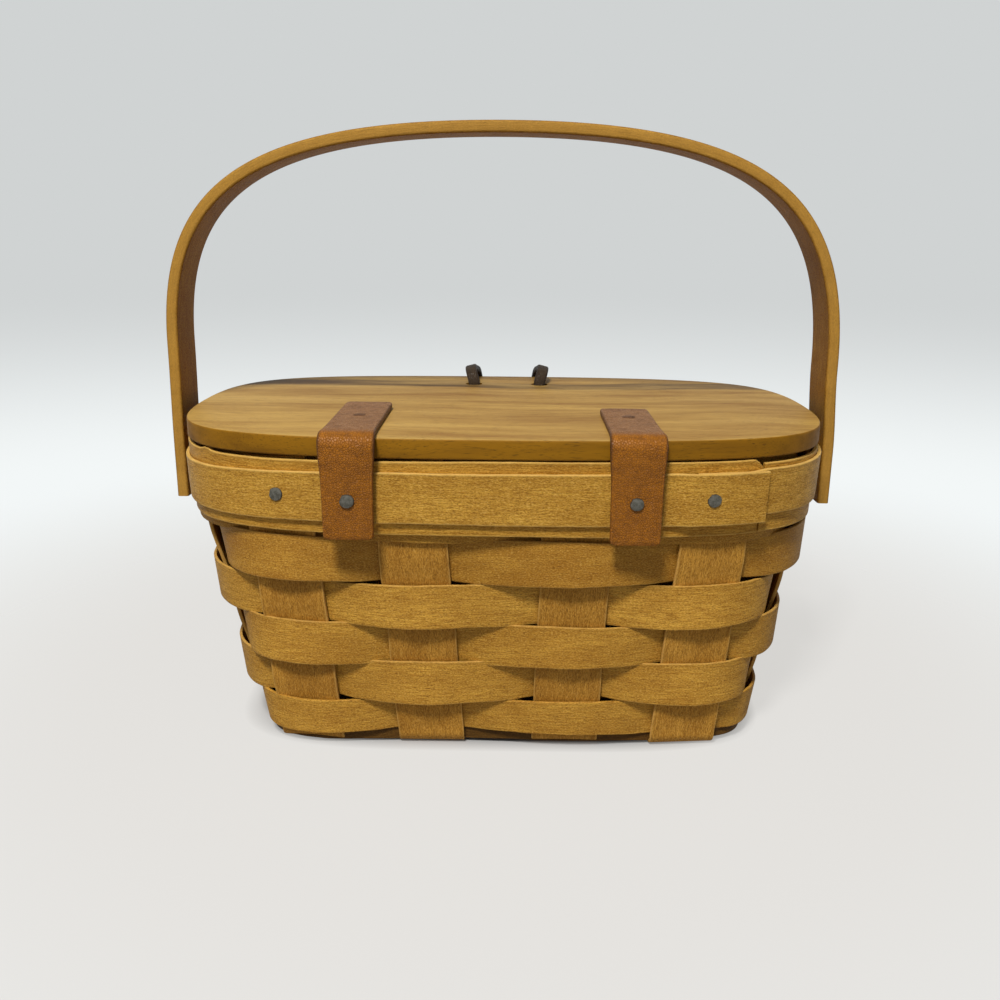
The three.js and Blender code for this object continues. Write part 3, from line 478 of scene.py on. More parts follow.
def bent_strip(name, points, across, width, thickness, material, **more):
    mesh = new_mesh(name, points, [(i, i + 1) for i in range(len(points) - 1)])
    along = unit(np.gradient(points, axis=0))
    keep(mesh, "across", unit(across - along * np.sum(across * along, axis=1)[:, None]))
    values = {"Width": width * MM, "Thickness": thickness * MM, "Material": material}
    return run_tree(name, mesh, strip_tree, {**values, **more})


# %% [markdown]
# Hand-cut splints are never quite even. Each point near one of the two long edges is moved a little along
# the strip's width, by waves from slow to quick. A piece can add a shape of its own, such as a cut corner.
# The grain of each strip starts two metres beyond the last one's, so that no two have the same figure.

# %% Uneven edges
EDGE_WAVES = ((210, 1.0), (97, 0.6), (43, 0.35), (17, 0.16), (7, 0.1))
GRAIN_STEP = 2.0


def read_points(values, key, count):
    flat = np.empty(count * 3, np.float32)
    values.foreach_get(key, flat)
    return flat.reshape(-1, 3)


def uneven(strip, seed, size, start, extra):
    mesh = strip.data
    count = len(mesh.vertices)
    grain, across = (read_points(mesh.attributes[name].data, "vector", count).astype(float)
                     for name in ("grain", "across"))
    along = grain[:, 0] / MM - start
    side = np.sign(grain[:, 1])
    draw = np.random.default_rng(seed)
    shift = np.zeros(count)
    for edge in (-1, 1):
        total = np.zeros(count)
        for length, share in EDGE_WAVES:
            total += share * np.sin(2 * math.pi * (along / length + draw.random()))
        shift[side == edge] = total[side == edge] * size
    if extra:
        shift += extra(along, side)
    moved = read_points(mesh.vertices, "co", count) + unit(across) * shift[:, None] * MM
    mesh.vertices.foreach_set("co", moved.astype(np.float32).ravel())
    mesh.update()


def hand_cut(name, points, across, width, thickness, material, tone, grain_start, seed, size, extra=None):
    """A bent strip with uneven edges. Its start in the grain is in metres."""
    strip = bent_strip(name, points, across, width, thickness, material,
                       **{"Grain start": grain_start, "Tone": tone})
    uneven(strip, seed, size, grain_start / MM, extra)
    return strip


# %% [markdown]
# ## Wood
# The splints are pale wood under a honey-coloured stain. Close up, four things show: fine fibres along the
# strip, short dark flecks, a close speckle, and broad uneven patches where the stain took differently. One
# group makes these four masks from the place in the strip, and each wood mixes its own colours with them.

# %% Wood figure group
PATCH_STRETCH, SPECKLE_SCALE = (1, 3.2, 3.2), (1500, 4200, 4200)


def make_figure_group():
    inputs = [("Place", "Vector"), ("Fibre length", "Float", 160.0), ("Fibre width", "Float", 2600.0),
              ("Patches", "Float", 45.0)]
    outputs = [(mask, "Float") for mask in ("Fibres", "Flecks", "Patches", "Speckle")]
    tree, given, result = new_group("Wood figure", "ShaderNodeTree", inputs, outputs)
    width = given["Fibre width"]
    stretch = add(tree, "ShaderNodeCombineXYZ", {"X": given["Fibre length"], "Y": width, "Z": width})
    fine = vector(tree, "MULTIPLY", given["Place"], stretch.outputs["Vector"])
    wide = vector(tree, "MULTIPLY", given["Place"], PATCH_STRETCH)
    close = vector(tree, "MULTIPLY", given["Place"], SPECKLE_SCALE)
    masks = {
        "Fibres": noise(tree, fine, 1.0, 3.0, 0.6),
        "Flecks": ranged(tree, noise(tree, fine, 2.3, 1.0), 0.6, 0.75),
        "Patches": noise(tree, wide, given["Patches"], 3.0, 0.55),
        "Speckle": noise(tree, close, 1.0, 2.0, 0.7),
    }
    for name, mask in masks.items():
        tree.links.new(mask, result.inputs[name])
    return tree


figure_group = make_figure_group()

# %% [markdown]
# Handling rubs the stain off the arrises, so a strip's cut edges are paler than its face; that pale line is
# also a painted highlight on the edge. Beside it a darker band is painted shade along each edge.
# The second group turns the place across the strip into those two masks.

# %% Edge group
EDGE_SHADE_DEPTH = 3.5


def make_edge_group():
    inputs = [("Place", "Vector"), ("Half width", "Float", 0.0077), ("Edge", "Float", 0.0005)]
    outputs = [("Worn", "Float"), ("Dirt", "Float")]
    tree, given, result = new_group("Edge wear and shade", "ShaderNodeTree", inputs, outputs)
    off_centre = calc(tree, "ABSOLUTE", parts_of(tree, given["Place"])["Y"])
    ragged = noise(tree, given["Place"], 260.0, 3.0)
    at = calc(tree, "MULTIPLY_ADD", ragged, given["Edge"], off_centre)
    start = calc(tree, "SUBTRACT", given["Half width"], given["Edge"])
    end = calc(tree, "ADD", given["Half width"], given["Edge"])
    # The darker band just inside each edge is painted shade
    inner = calc(tree, "SUBTRACT", given["Half width"], calc(tree, "MULTIPLY", given["Edge"], EDGE_SHADE_DEPTH))
    # The pale line at each edge is rubbed wear and also a painted highlight
    tree.links.new(ranged(tree, at, start, end, kind="SMOOTHSTEP"), result.inputs["Worn"])
    tree.links.new(ranged(tree, at, inner, given["Half width"], kind="SMOOTHSTEP"), result.inputs["Dirt"])
    return tree


edge_group = make_edge_group()

# %% [markdown]
# A wood material reads two values that the strip carries: its grain place and its tone. The masks then lay
# the colours over each other: the body, the fibres, the speckle, a pale speckle painted as glints, the
# flecks, the painted shade beside the edges and the rubbed edges, whose pale line is partly a painted
# highlight.


# %% Wood material
def new_material(name, socket, value):
    """A new material with one value set on its shader."""
    material = bpy.data.materials.new(name)
    material.use_nodes = True
    material.node_tree.nodes["Principled BSDF"].inputs[socket].default_value = value
    return material, material.node_tree


def finish_material(tree, base, roughness, height, bump, depth):
    """Join the colour, the roughness and a bump to the shader."""
    bumped = add(tree, "ShaderNodeBump", {"Strength": bump, "Distance": depth, "Height": height})
    joined = {"Base Color": base, "Roughness": roughness, "Normal": bumped.outputs["Normal"]}
    for name, source in joined.items():
        tree.links.new(source, tree.nodes["Principled BSDF"].inputs[name])


def layered(tree, look, layers):
    """Lay colours over each other, each through a mask, its range and the shares at the two ends of that."""
    for mask, low, high, to_low, to_high, tint in layers:
        look = mixed(tree, ranged(tree, mask, low, high, to_low, to_high), look, tint)
    return look


def masks_of(tree, group, place, values):
    """The outputs of one of the two groups, at a place in the wood or leather."""
    return add(tree, "ShaderNodeGroup", {"Place": place, **values}, node_tree=group).outputs


def wood_material(name, colours, half_width, roughness=0.5, fibre=(160, 2600), fibre_share=0.95,
                  speckle_share=0.6, specular=0.13):
    pale, deep, fleck, worn = (colour(*rgb) for rgb in colours)
    material, tree = new_material(name, "Specular IOR Level", specular)
    place = add(tree, "ShaderNodeAttribute", attribute_name="grain").outputs["Vector"]
    tone = add(tree, "ShaderNodeAttribute", attribute_name="tone").outputs["Fac"]
    figure = masks_of(tree, figure_group, place, {"Fibre length": fibre[0], "Fibre width": fibre[1]})
    edge = masks_of(tree, edge_group, place, {"Half width": half_width * MM})
    patched = calc(tree, "ADD", ranged(tree, figure["Patches"], 0.3, 0.7, -0.28, 0.28), tone, clamp=True)
    look = layered(tree, mixed(tree, patched, deep, pale), (
        (figure["Fibres"], 0.4, 0.66, 0, fibre_share, deep),
        (figure["Speckle"], 0.5, 0.7, 0, speckle_share, fleck),
        # A pale speckle in the worn colour is a painted glint
        (figure["Speckle"], 0.46, 0.32, 0, 0.55 * speckle_share, worn),
        (figure["Flecks"], 0, 1, 0, 0.75, fleck),
        # Painted shade along each edge, in the fleck colour
        (edge["Dirt"], 0, 1, 0, 0.16, fleck),
        # Rubbed edges, their pale line also a painted highlight
        (edge["Worn"], 0, 1, 0, 0.6, worn),
    ))
    gloss = ranged(tree, figure["Fibres"], 0.3, 0.7, roughness - 0.06, roughness + 0.1)
    height = calc(tree, "ADD", figure["Fibres"], figure["Speckle"])
    finish_material(tree, look, gloss, height, 0.6, 0.0002)
    return material


# %% Woods
WEAVER_WIDTH, UPRIGHT_WIDTH, HANDLE_WIDTH = 14.9, 21.4, 19.0
BAND_WIDTH, UNDER_BAND_WIDTH = 15.9, 23.2
weaver_wood = wood_material("weaver splint", ((218, 166, 66), (160, 109, 32), (92, 55, 16), (232, 189, 106)),
                            WEAVER_WIDTH / 2, 0.5, (230, 2800), 0.85, 0.75)
upright_wood = wood_material("upright splint",
                             ((212, 156, 62), (158, 106, 32), (98, 62, 20), (224, 177, 96)),
                             UPRIGHT_WIDTH / 2, 0.6, (280, 2600), 0.7, 0.75)
# A dark copy of the splint wood, painted as shade, for the filler under the last row
painted_shade_wood = wood_material("painted shade splint", ((120, 84, 30), (78, 50, 14), (44, 28, 8), (130, 96, 44)),
                            WEAVER_WIDTH / 2)
band_wood = wood_material("rim band", ((220, 169, 68), (166, 115, 34), (98, 61, 18), (238, 197, 112)),
                          BAND_WIDTH / 2, 0.5, (210, 2700), 0.85, 0.75)
under_band_wood = wood_material("under band",
                                ((218, 166, 66), (162, 110, 30), (92, 56, 14), (234, 192, 104)),
                                UNDER_BAND_WIDTH / 2)
handle_wood = wood_material("bentwood handle", ((184, 133, 44), (130, 86, 24), (74, 44, 10), (200, 152, 70)),
                            HANDLE_WIDTH / 2, 0.55, speckle_share=1.0, specular=0.06)
print("wood materials", [m.name for m in bpy.data.materials])

# %% [markdown]
# ## Weavers
# Six splints run round the basket, over one upright and behind the next, and each row passes the other way
# from the row below it. A closed hoop would be easy, but a real weaver is one length whose ends lap behind
# an upright, so each path is a little longer than once round and its end slips inside its start.
# Each row is the strip between two edge lines. How far a line stands off the uprights is set at each upright
# and half-way between them, and softened, so that a row bulges over one upright and dives behind the next.

# %% Weaver paths
ROW_EDGES = ((85.9, 73.2), (74.2, 59.8), (59.2, 44.9), (45.2, 30.8), (31.6, 17.2), (16.8, 4.6))
# The top two rows have lower tones as painted shade under the rim bands
ROW_TONES_AND_RIM_SHADE = (0.4, 0.27, 0.74, 0.5, 0.58, 0.62)
LAST_ROW = len(ROW_EDGES) - 1
WEAVER_THICKNESS, UPRIGHT_THICKNESS = 1.0, 1.2
# Offsets from the uprights' middle: over an upright's centre and edge, half-way to the next one,
# behind an upright's edge and behind its centre
TOP_OFFSETS = (1.75, 1.3, 0.1, -1.3, -1.45)
BOTTOM_OFFSETS = (4.5, 3.1, 1.25, -1.3, -1.9)
LOW_OFFSETS = (1.6, 1.3, 0.1, -1.3, -1.45)
FOOT_OFFSETS = (2.6, 2.0, 0.5, -1.3, -1.5)
FILLER_EDGES, FILLER_OFFSETS = (5.6, 0.9), (-0.8, -0.9, -1.4, -2.0, -2.2)
# At the round ends a row swings further out over an upright, and cuts the corner behind it
END_OVER, END_BEHIND = 1.5, -1.7
WEAVE_STEPS, SOFTENING = 1200, 39


def uprights_round(z):
    """Each upright that a weaver meets: its share, and whether odd rows pass over it."""
    near = [lengthways_share(number, z) for number in range(len(LENGTHWAYS_PLACES))]
    right_end = [right_share(y, z) for y in CROSSWAYS_PLACES]
    sides = (near, [1 + s for s in right_end], [2 - s for s in reversed(near)],
             [1.5 - s for s in reversed(right_end)])
    return [(share, i % 2 == 0) for side in sides for i, share in enumerate(side)]


def softened(values, width):
    kernel = np.hanning(width)
    return np.convolve(values, kernel / kernel.sum(), "valid")


def weave_offsets(shares, z, row, levels):
    """How far an edge of a row stands off the uprights' middle at each share."""
    over_centre, over_edge, between, behind_edge, behind_centre = levels
    half = UPRIGHT_WIDTH / 2 / round_wall(z)
    order = uprights_round(z)
    at_end = [i % 6 > 3 for i in range(len(order))]
    keys, values = [], []
    for i, (share, odd_over) in enumerate(order):
        over = odd_over == (row % 2 == 1)
        centre, edge = (over_centre, over_edge) if over else (behind_centre, behind_edge)
        more = (END_OVER if over else END_BEHIND * (row < LAST_ROW)) * at_end[i]
        keys += [share - half, share, share + half]
        values += [edge + more, centre + more, edge + more]
        after = (i + 1) % len(order)
        if at_end[i] == at_end[after]:
            keys.append((share + (order[after][0] + (after == 0))) / 2)
            values.append(between)
    start = keys[0]
    fine = np.linspace(start, start + 1, WEAVE_STEPS, endpoint=False)
    level = np.interp(fine, [*keys, start + 1], [*values, values[0]])
    beside = SOFTENING // 2
    soft = softened(np.concatenate([level[-beside:], level, level[:beside]]), SOFTENING)
    return np.interp(np.mod(shares - start, 1), np.append(fine - start, 1), np.append(soft, soft[0]))


# %% [markdown]
# Where a row passes behind an upright its two edges are pinched together, so that a dark gap opens beside
# it. The lower edge of the last row rises at the round ends and in the middle, and drops at the left. Each
# piece keeps a seed of its own for its unevenness, so that every run gives the same purse.

# %% Weavers
TOP_PINCH, LOW_PINCHES = 0.5, (0, 0.8, 0.9, 0.9, 1.6, 0.8)
PINCH_FROM, PINCH_OVER = 0.4, 1.5
FOOT_ROUNDING = 6
CORNER_LIFT, CORNER_X, CORNER_REACH = 1.2, 58, 18
MIDDLE_LIFT, MIDDLE_X, MIDDLE_REACH = 0.8, 50, 16
LEFT_DROP, LEFT_X, LEFT_REACH = 0.9, -66, 13
WEAVER_STATIONS, WEAVER_UNEVENNESS, WEAVER_SEED, LAP_LENGTH = 420, 0.26, 60, 16
START_X = (-24, 22)


def edge_line(shares, z, row, levels, inward, pinch):
    points, out = wall(shares, z)
    offsets = weave_offsets(shares, z, row, levels)
    points = points + out * (offsets - inward)[:, None]
    points[:, 2] += pinch * np.clip((PINCH_FROM - offsets) / PINCH_OVER, 0, 1)
    return points


def woven_strip(name, row, edges, top_levels, bottom_levels, start, lap, tone, seed):
    """A splint between two edge lines, once round the basket and a lap further, the lap's end inside."""
    top, bottom = edges
    shares = np.linspace(start - lap, start + 1 + lap, WEAVER_STATIONS)
    inward = (WEAVER_THICKNESS + 0.1) * np.clip((shares - (start + 1 - 2 * lap)) / (2 * lap), 0, 1)
    upper = edge_line(shares, top, row, top_levels, inward, -TOP_PINCH)
    lower = edge_line(shares, bottom, row, bottom_levels, inward, LOW_PINCHES[row])
    if bottom < FOOT_ROUNDING:
        x = lower[:, 0]
        lower[:, 2] += CORNER_LIFT * np.clip((abs(x) - CORNER_X) / CORNER_REACH, 0, 1)
        if top > FOOT_ROUNDING:
            lower[:, 2] += MIDDLE_LIFT * np.clip((MIDDLE_X - abs(x)) / MIDDLE_REACH, 0, 1)
            lower[:, 2] -= LEFT_DROP * np.exp(-(((x - LEFT_X) / LEFT_REACH) ** 2))
    return hand_cut(name, (upper + lower) / 2, upper - lower, top - bottom, WEAVER_THICKNESS, weaver_wood,
                    tone, GRAIN_STEP * seed, WEAVER_SEED + seed, WEAVER_UNEVENNESS)


def make_weaver(row):
    bottom = ROW_EDGES[row][1]
    lap = LAP_LENGTH / 2 / round_wall(bottom)
    start = 1 - near_share(START_X[row % 2], bottom)
    top_levels = LOW_OFFSETS if row == 0 else TOP_OFFSETS
    bottom_levels = {0: LOW_OFFSETS, LAST_ROW: FOOT_OFFSETS}.get(row, BOTTOM_OFFSETS)
    return woven_strip(f"weaver_splint_{row}", row, ROW_EDGES[row], top_levels, bottom_levels, start, lap,
                       ROW_TONES_AND_RIM_SHADE[row], row)


weavers = [make_weaver(row) for row in range(len(ROW_EDGES))]
# A narrow filler under the last row stands back in its shadow, and its wood is painted dark as shade
foot_splint = woven_strip("foot_splint", LAST_ROW, FILLER_EDGES, FILLER_OFFSETS, FILLER_OFFSETS, 0.05, 0.01,
                          0.3, 8)
foot_splint.data.materials[0] = painted_shade_wood
print("weavers", [len(w.data.polygons) for w in weavers], "faces")

# %% [markdown]
# ## Uprights
# An upright runs down one wall, across the base and up the other wall. The rows push it in and out a
# little, and it sways slightly, as hand-split wood does. In the base the front-to-back ones and the
# end-to-end ones are woven with each other.

# %% Upright down the wall
UPRIGHT_TOP, FOOT_BEND = 98.9, 4.0
WALL_STATIONS, BEND_STEPS = 63, 12
PUSH, PUSH_REACH = 0.35, 5.5
SWAY, SWAY_LENGTH = 0.35, 190


def wobble(along, seed, size):
    """A slow, smooth unevenness along a hand-made strip, the same at each run."""
    draw = np.random.default_rng(seed)
    total = np.zeros(len(along))
    for waves in (3, 5, 8):
        total += np.sin(2 * math.pi * (waves * along + draw.random())) * draw.uniform(0.4, 1) / waves
    return total * size


def upright_push(z, odd_over):
    total = 0.0
    for row, (top, bottom) in enumerate(ROW_EDGES):
        sign = -1 if odd_over == (row % 2 == 1) else 1
        total += sign * PUSH * math.exp(-(((z - (top + bottom) / 2) / PUSH_REACH) ** 2))
    return total


def upright_down(share_at, base_height, odd_over, seed):
    """The middle line down one wall and round the foot: its points and its width directions."""
    levels = np.linspace(UPRIGHT_TOP, base_height + FOOT_BEND, WALL_STATIONS)
    points, acrosses = [], []
    for z, aside in zip(levels, wobble(levels / SWAY_LENGTH, seed, SWAY)):
        point, out = (v[0] for v in wall(share_at(z), z))
        across = np.array([-out[1], out[0], 0])
        points.append(point + out * upright_push(z, odd_over) + across * aside)
        acrosses.append(across)
    centre = points[-1] - out * FOOT_BEND
    for k in range(1, BEND_STEPS + 1):
        angle = k / BEND_STEPS * math.pi / 2
        points.append(centre + (out * math.cos(angle) - np.array([0, 0, math.sin(angle)])) * FOOT_BEND)
        acrosses.append(across)
    return np.array(points), np.array(acrosses)


# %% Uprights
BASE_LOW, BASE_FLAT, BASE_HIGH = 0.6, 2.1, 3.6
BASE_STATIONS, BASE_SOFTENING = 61, 9
UPRIGHT_TONE, TONE_STEP, TONE_COUNT = 0.4, 0.08, 4
UPRIGHT_GRAIN, UPRIGHT_SEED, UPRIGHT_UNEVENNESS = 20, 80, 0.15


def base_heights(parts, crossings, reach, low):
    keys, values = [-reach], [low]
    for place, height in crossings:
        keys += [place - UPRIGHT_WIDTH / 2, place + UPRIGHT_WIDTH / 2]
        values += [height, height]
    level = np.interp(parts * reach, [*keys, reach], [*values, low])
    return softened(np.pad(level, BASE_SOFTENING // 2, "edge"), BASE_SOFTENING)


def make_upright(name, share_at, axis, base_height, crossings, odd_over, seed):
    points, acrosses = upright_down(share_at, base_height, odd_over, seed)
    mirror = np.ones(3)
    mirror[axis] = -1
    far = upright_down(share_at, base_height, not odd_over, seed)[0] * mirror
    if axis == 0:
        far[:, 0] += [2 * FOOT_SHIFT * (1 - foot_to_rim(z)) for z in points[:, 2]]
    far_across = acrosses * mirror
    parts = np.linspace(-1, 1, BASE_STATIONS)[1:-1]
    reach = abs(points[-1][axis] - (FOOT_SHIFT if axis == 0 else 0))
    shares = ((parts + 1) / 2)[:, None]
    base = points[-1] * (1 - shares) + far[-1] * shares
    base[:, 2] = base_heights(parts, crossings, reach, base_height)
    base_across = acrosses[-1] * (1 - shares) + far_across[-1] * shares
    line = np.concatenate([points, base, far[::-1]])
    across = np.concatenate([acrosses, base_across, far_across[::-1]])
    strip = hand_cut(name, line, across, UPRIGHT_WIDTH, UPRIGHT_THICKNESS, upright_wood,
                     UPRIGHT_TONE + TONE_STEP * (seed % TONE_COUNT), UPRIGHT_GRAIN + GRAIN_STEP * seed,
                     UPRIGHT_SEED + seed, UPRIGHT_UNEVENNESS)
    for vertex in strip.data.vertices:
        vertex.co.z = max(vertex.co.z, 0)
    return strip


uprights = []
for i in range(len(LENGTHWAYS_PLACES)):
    crossings = [(y, BASE_LOW if (i + j) % 2 == 0 else BASE_HIGH) for j, y in enumerate(CROSSWAYS_PLACES)]
    uprights.append(make_upright(f"upright_splint_{i + 1}", lambda z, i=i: lengthways_share(i, z), 1,
                                 BASE_LOW, crossings, i % 2 == 0, i))
for j, y in enumerate(CROSSWAYS_PLACES):
    uprights.append(make_upright(f"end_splint_{j + 1}", lambda z, y=y: right_share(y, z), 0, BASE_FLAT,
                                 [], j % 2 == 0, 4 + j))
print("uprights", [u.name for u in uprights])

# %% [markdown]
# ## Rim bands
# Three bent bands hold the rim: one inside, a wide one outside, and a narrower one over that. The outer band
# is longer than the rim and climbs onto itself, and its square end shows at the right.

# %% Bands
INNER_OFFSET, UNDER_OFFSET, OUTER_OFFSET, LAP_OFFSET = -2.9, 2.9, 4.2, 5.5
INNER_TOP, UNDER_TOP, OUTER_TOP = 99.0, 99.6, 96.1
BAND_THICKNESS, BAND_STATIONS, BAND_GRAIN, BAND_UNEVENNESS = 1.25, 400, 40, 0.12
FASTENER_Z = 88.15
LAP_CLIMB = 7
SEAM = 0.6 / round_wall(FASTENER_Z)
UNDER_START = near_share(76.8, FASTENER_Z)
UNDER_REACH = (UNDER_START, UNDER_START + 1 - SEAM)
HIDDEN_END = near_share(57, FASTENER_Z)
OUTER_REACH = (HIDDEN_END, 1 + near_share(77, FASTENER_Z))
CLIMB_FROM = HIDDEN_END + 1 - LAP_CLIMB / round_wall(FASTENER_Z)
# The under band's top edge: where each drop fades out and how deep it is, and where each bump is, how wide
# and how high. Then how far from its end the corner's cut starts and stops, and how deep it is
UNDER_LOWERED, FIRST_DROP, SECOND_DROP = 0.2, (18, 45, 0.5), (60, 110, 0.7)
UNDER_DIP, UNDER_TEAR = (-80, 0.08, -0.7), (-86, 0.004, 0.9)
CORNER_CUT_FROM, CORNER_CUT_TO, CORNER_CUT = 2.2, 0.3, 2.4
# The outer band: where its start rises, how far at the top and at the bottom, and where its left is low
RISE_FROM, RISE_TO, RISE_TOP, RISE_BOTTOM = (16, 22), (60, 130), 0.7, 1.9
LOW_FROM, LOW_TO, LOW_TO_X, LOW_DEPTH = (1.3, 1.44), 1.52, -20, 2.3


def make_band(name, reach, offset_at, top, width, material, tone, seed, extra=None):
    shares = np.linspace(*reach, BAND_STATIONS)
    points, out = wall(shares, top - width / 2)
    points = points + out * np.array([offset_at(s) for s in shares])[:, None]
    return hand_cut(name, points, out * RIM_FLARE + (0, 0, 1), width, BAND_THICKNESS, material, tone,
                    BAND_GRAIN + GRAIN_STEP * seed, seed, BAND_UNEVENNESS, extra)


def smooth(part):
    part = np.clip(part, 0, 1)
    return part * part * (3 - 2 * part)


def faded(along, start, end, height=1):
    """The whole height before the start, nought after the end, and smooth between them."""
    return height * (1 - smooth((along - start) / (end - start)))


def share_along(along, reach):
    return reach[0] + (reach[1] - reach[0]) * along / along.max()


def bump_at(share, x, spread, height):
    """A smooth bump at a place on the near side. The band starts beyond it, so its share there is 1 more."""
    return height * np.exp(-(((share - 1 - near_share(x, FASTENER_Z)) / spread) ** 2))


def under_shape(along, side):
    """The top edge is low beyond the band's start, torn at the left, and its last corner is cut off."""
    share = share_along(along, UNDER_REACH)
    end = along.max()
    low_start = -(faded(along, *FIRST_DROP) + faded(along, *SECOND_DROP))
    bumps = low_start + bump_at(share, *UNDER_DIP) + bump_at(share, *UNDER_TEAR)
    corner = -CORNER_CUT * (1 - faded(along, end - CORNER_CUT_FROM, end - CORNER_CUT_TO))
    return (bumps + corner - UNDER_LOWERED) * (side > 0)


def outer_shape(along, side):
    """The start is a little higher beyond the end that laps over it; the top edge is low at the left."""
    share = share_along(along, OUTER_REACH)
    risen = np.where(side > 0, RISE_TOP, RISE_BOTTOM)
    beyond = (1 - faded(along, *RISE_FROM)) * faded(along, *RISE_TO) * risen
    left = faded(share, LOW_TO, 1 + near_share(LOW_TO_X, FASTENER_Z)) * (1 - faded(share, *LOW_FROM))
    return beyond - LOW_DEPTH * left * (side > 0)


def outer_offset(share):
    climb = smooth((share - CLIMB_FROM) / (HIDDEN_END + 1 - SEAM - CLIMB_FROM))
    return OUTER_OFFSET + (LAP_OFFSET - OUTER_OFFSET) * climb


inner = make_band("inner_rim_band", (0.3, 1.3 - SEAM), lambda s: INNER_OFFSET, INNER_TOP, BAND_WIDTH,
                  band_wood, 0.4, 1)
under = make_band("under_rim_band", UNDER_REACH, lambda s: UNDER_OFFSET, UNDER_TOP, UNDER_BAND_WIDTH,
                  under_band_wood, 0.6, 2, under_shape)
outer = make_band("outer_rim_band", OUTER_REACH, outer_offset, OUTER_TOP, BAND_WIDTH, band_wood, 0.62, 3,
                  outer_shape)
print("bands", [len(b.data.polygons) for b in (inner, under, outer)], "faces")

# %% [markdown]
# ## Lid board
# The lid is one flat board with its long grain from end to end. Its outline is the same kind of oval. The
# rounded arris is a few rings of points, and a filled face with two holes closes the top and the bottom.

# %% Lid board
LID_HALF, LID_SQUARENESS = (104.0, 61.4), 0.845
LID_UNDERSIDE, LID_TOP, LID_ROUNDING, ARRIS_STEPS = 100.0, 106.0, 0.55, 6
CLOSURE_X, THONG_HOLE_X, THONG_HOLE_Y = 1.0, 12.6, 41.6
HOLE_RADIUS, HOLE_SIDES = 3.2, 32


def finish_mesh(name, mesh, sharp_degrees):
    mesh.shade_smooth()
    mesh.set_sharp_from_angle(angle=math.radians(sharp_degrees))
    return show(name, mesh)


def ring_verts(shape, points, z):
    return [shape.verts.new(p) for p in placed(np.column_stack([points, np.full(len(points), z)]))]


def tube_faces(shape, upper, lower):
    for i in range(len(upper)):
        shape.faces.new((upper[i - 1], upper[i], lower[i], lower[i - 1]))


def make_lid():
    outline = oval(*LID_HALF, LID_SQUARENESS)[:-1:2]
    along = np.roll(outline, -1, axis=0) - np.roll(outline, 1, axis=0)
    out = unit(np.column_stack([along[:, 1], -along[:, 0]]))
    turns = [k / (ARRIS_STEPS - 1) * math.pi / 2 for k in range(ARRIS_STEPS)]
    rings = [(LID_ROUNDING * (1 - math.sin(a)), LID_TOP - LID_ROUNDING * (1 - math.cos(a))) for a in turns]
    rings += [(inset, LID_UNDERSIDE + LID_TOP - z) for inset, z in reversed(rings)]
    shape = bmesh.new()
    made = [ring_verts(shape, outline - out * inset, z) for inset, z in rings]
    for upper, lower in zip(made, made[1:]):
        tube_faces(shape, upper, lower)
    angles = np.linspace(0, 2 * math.pi, HOLE_SIDES, endpoint=False)
    holes = []
    for x in (CLOSURE_X - THONG_HOLE_X, CLOSURE_X + THONG_HOLE_X):
        circle = np.column_stack([np.cos(angles), np.sin(angles)]) * HOLE_RADIUS + (x, THONG_HOLE_Y)
        holes.append([ring_verts(shape, circle, z) for z in (LID_TOP, LID_UNDERSIDE)])
        tube_faces(shape, *holes[-1])
    for side, ring in ((0, made[0]), (1, made[-1])):
        loops = [ring] + [ends[side] for ends in holes]
        edges = [shape.edges.get((loop[i - 1], loop[i])) for loop in loops for i in range(len(loop))]
        bmesh.ops.triangle_fill(shape, edges=edges, use_beauty=True)
    bmesh.ops.recalc_face_normals(shape, faces=shape.faces)
    mesh = bpy.data.meshes.new("lid_board_finished")
    shape.to_mesh(mesh)
    shape.free()
    return finish_mesh("lid_board_finished", mesh, 30)


lid = make_lid()
print("lid faces", len(lid.data.polygons))

# %% [markdown]
# The board's figure is different from the splints': long wavy streaks with fine pores. The streaks are a
# noise stretched along the board and bent by a second, slower noise. The far part of the board has one broad
# dark band, broken up by the streaks. The sawn edge is darker, so it gets a material of its own.

# %% Lid materials
STREAK_BEND, STREAK_SCALE = (0, 0.03, 0.02), (10, 85, 110)
BOARD_FIGURE = {"Fibre length": 70, "Fibre width": 2200, "Patches": 14}
DARK_FROM, DARK_TO = (0.044, 0.048), (0.0585, 0.0625)


def board_material(name, colours, streak_share, roughness):
    pale, streak, pore, dark = (colour(*rgb) for rgb in colours)
    material, tree = new_material(name, "Specular IOR Level", 0.15)
    place = add(tree, "ShaderNodeTexCoord").outputs["Object"]
    bent = vector(tree, "MULTIPLY_ADD", noise(tree, place, 9.0, 2.0, output="Color"), STREAK_BEND, place)
    streaks = noise(tree, vector(tree, "MULTIPLY", bent, STREAK_SCALE), 1.0, 6.0, 0.68)
    figure = masks_of(tree, figure_group, bent, BOARD_FIGURE)
    look = layered(tree, pale, (
        (streaks, 0.42, 0.68, 0, streak_share, streak),
        (figure["Patches"], 0.35, 0.7, 0, 0.35, streak),
        (figure["Flecks"], 0, 1, 0, 0.75, pore),
    ))
    y = parts_of(tree, bent)["Y"]
    inside = calc(tree, "MULTIPLY", ranged(tree, y, *DARK_FROM), ranged(tree, y, *DARK_TO, 1.0, 0.0))
    broken = calc(tree, "MULTIPLY", inside, ranged(tree, streaks, 0.36, 0.56, 0.35, 0.95), clamp=True)
    gloss = ranged(tree, streaks, 0.3, 0.7, roughness - 0.05, roughness + 0.08)
    finish_material(tree, mixed(tree, broken, look, dark), gloss, figure["Fibres"], 0.25, 0.0001)
    return material


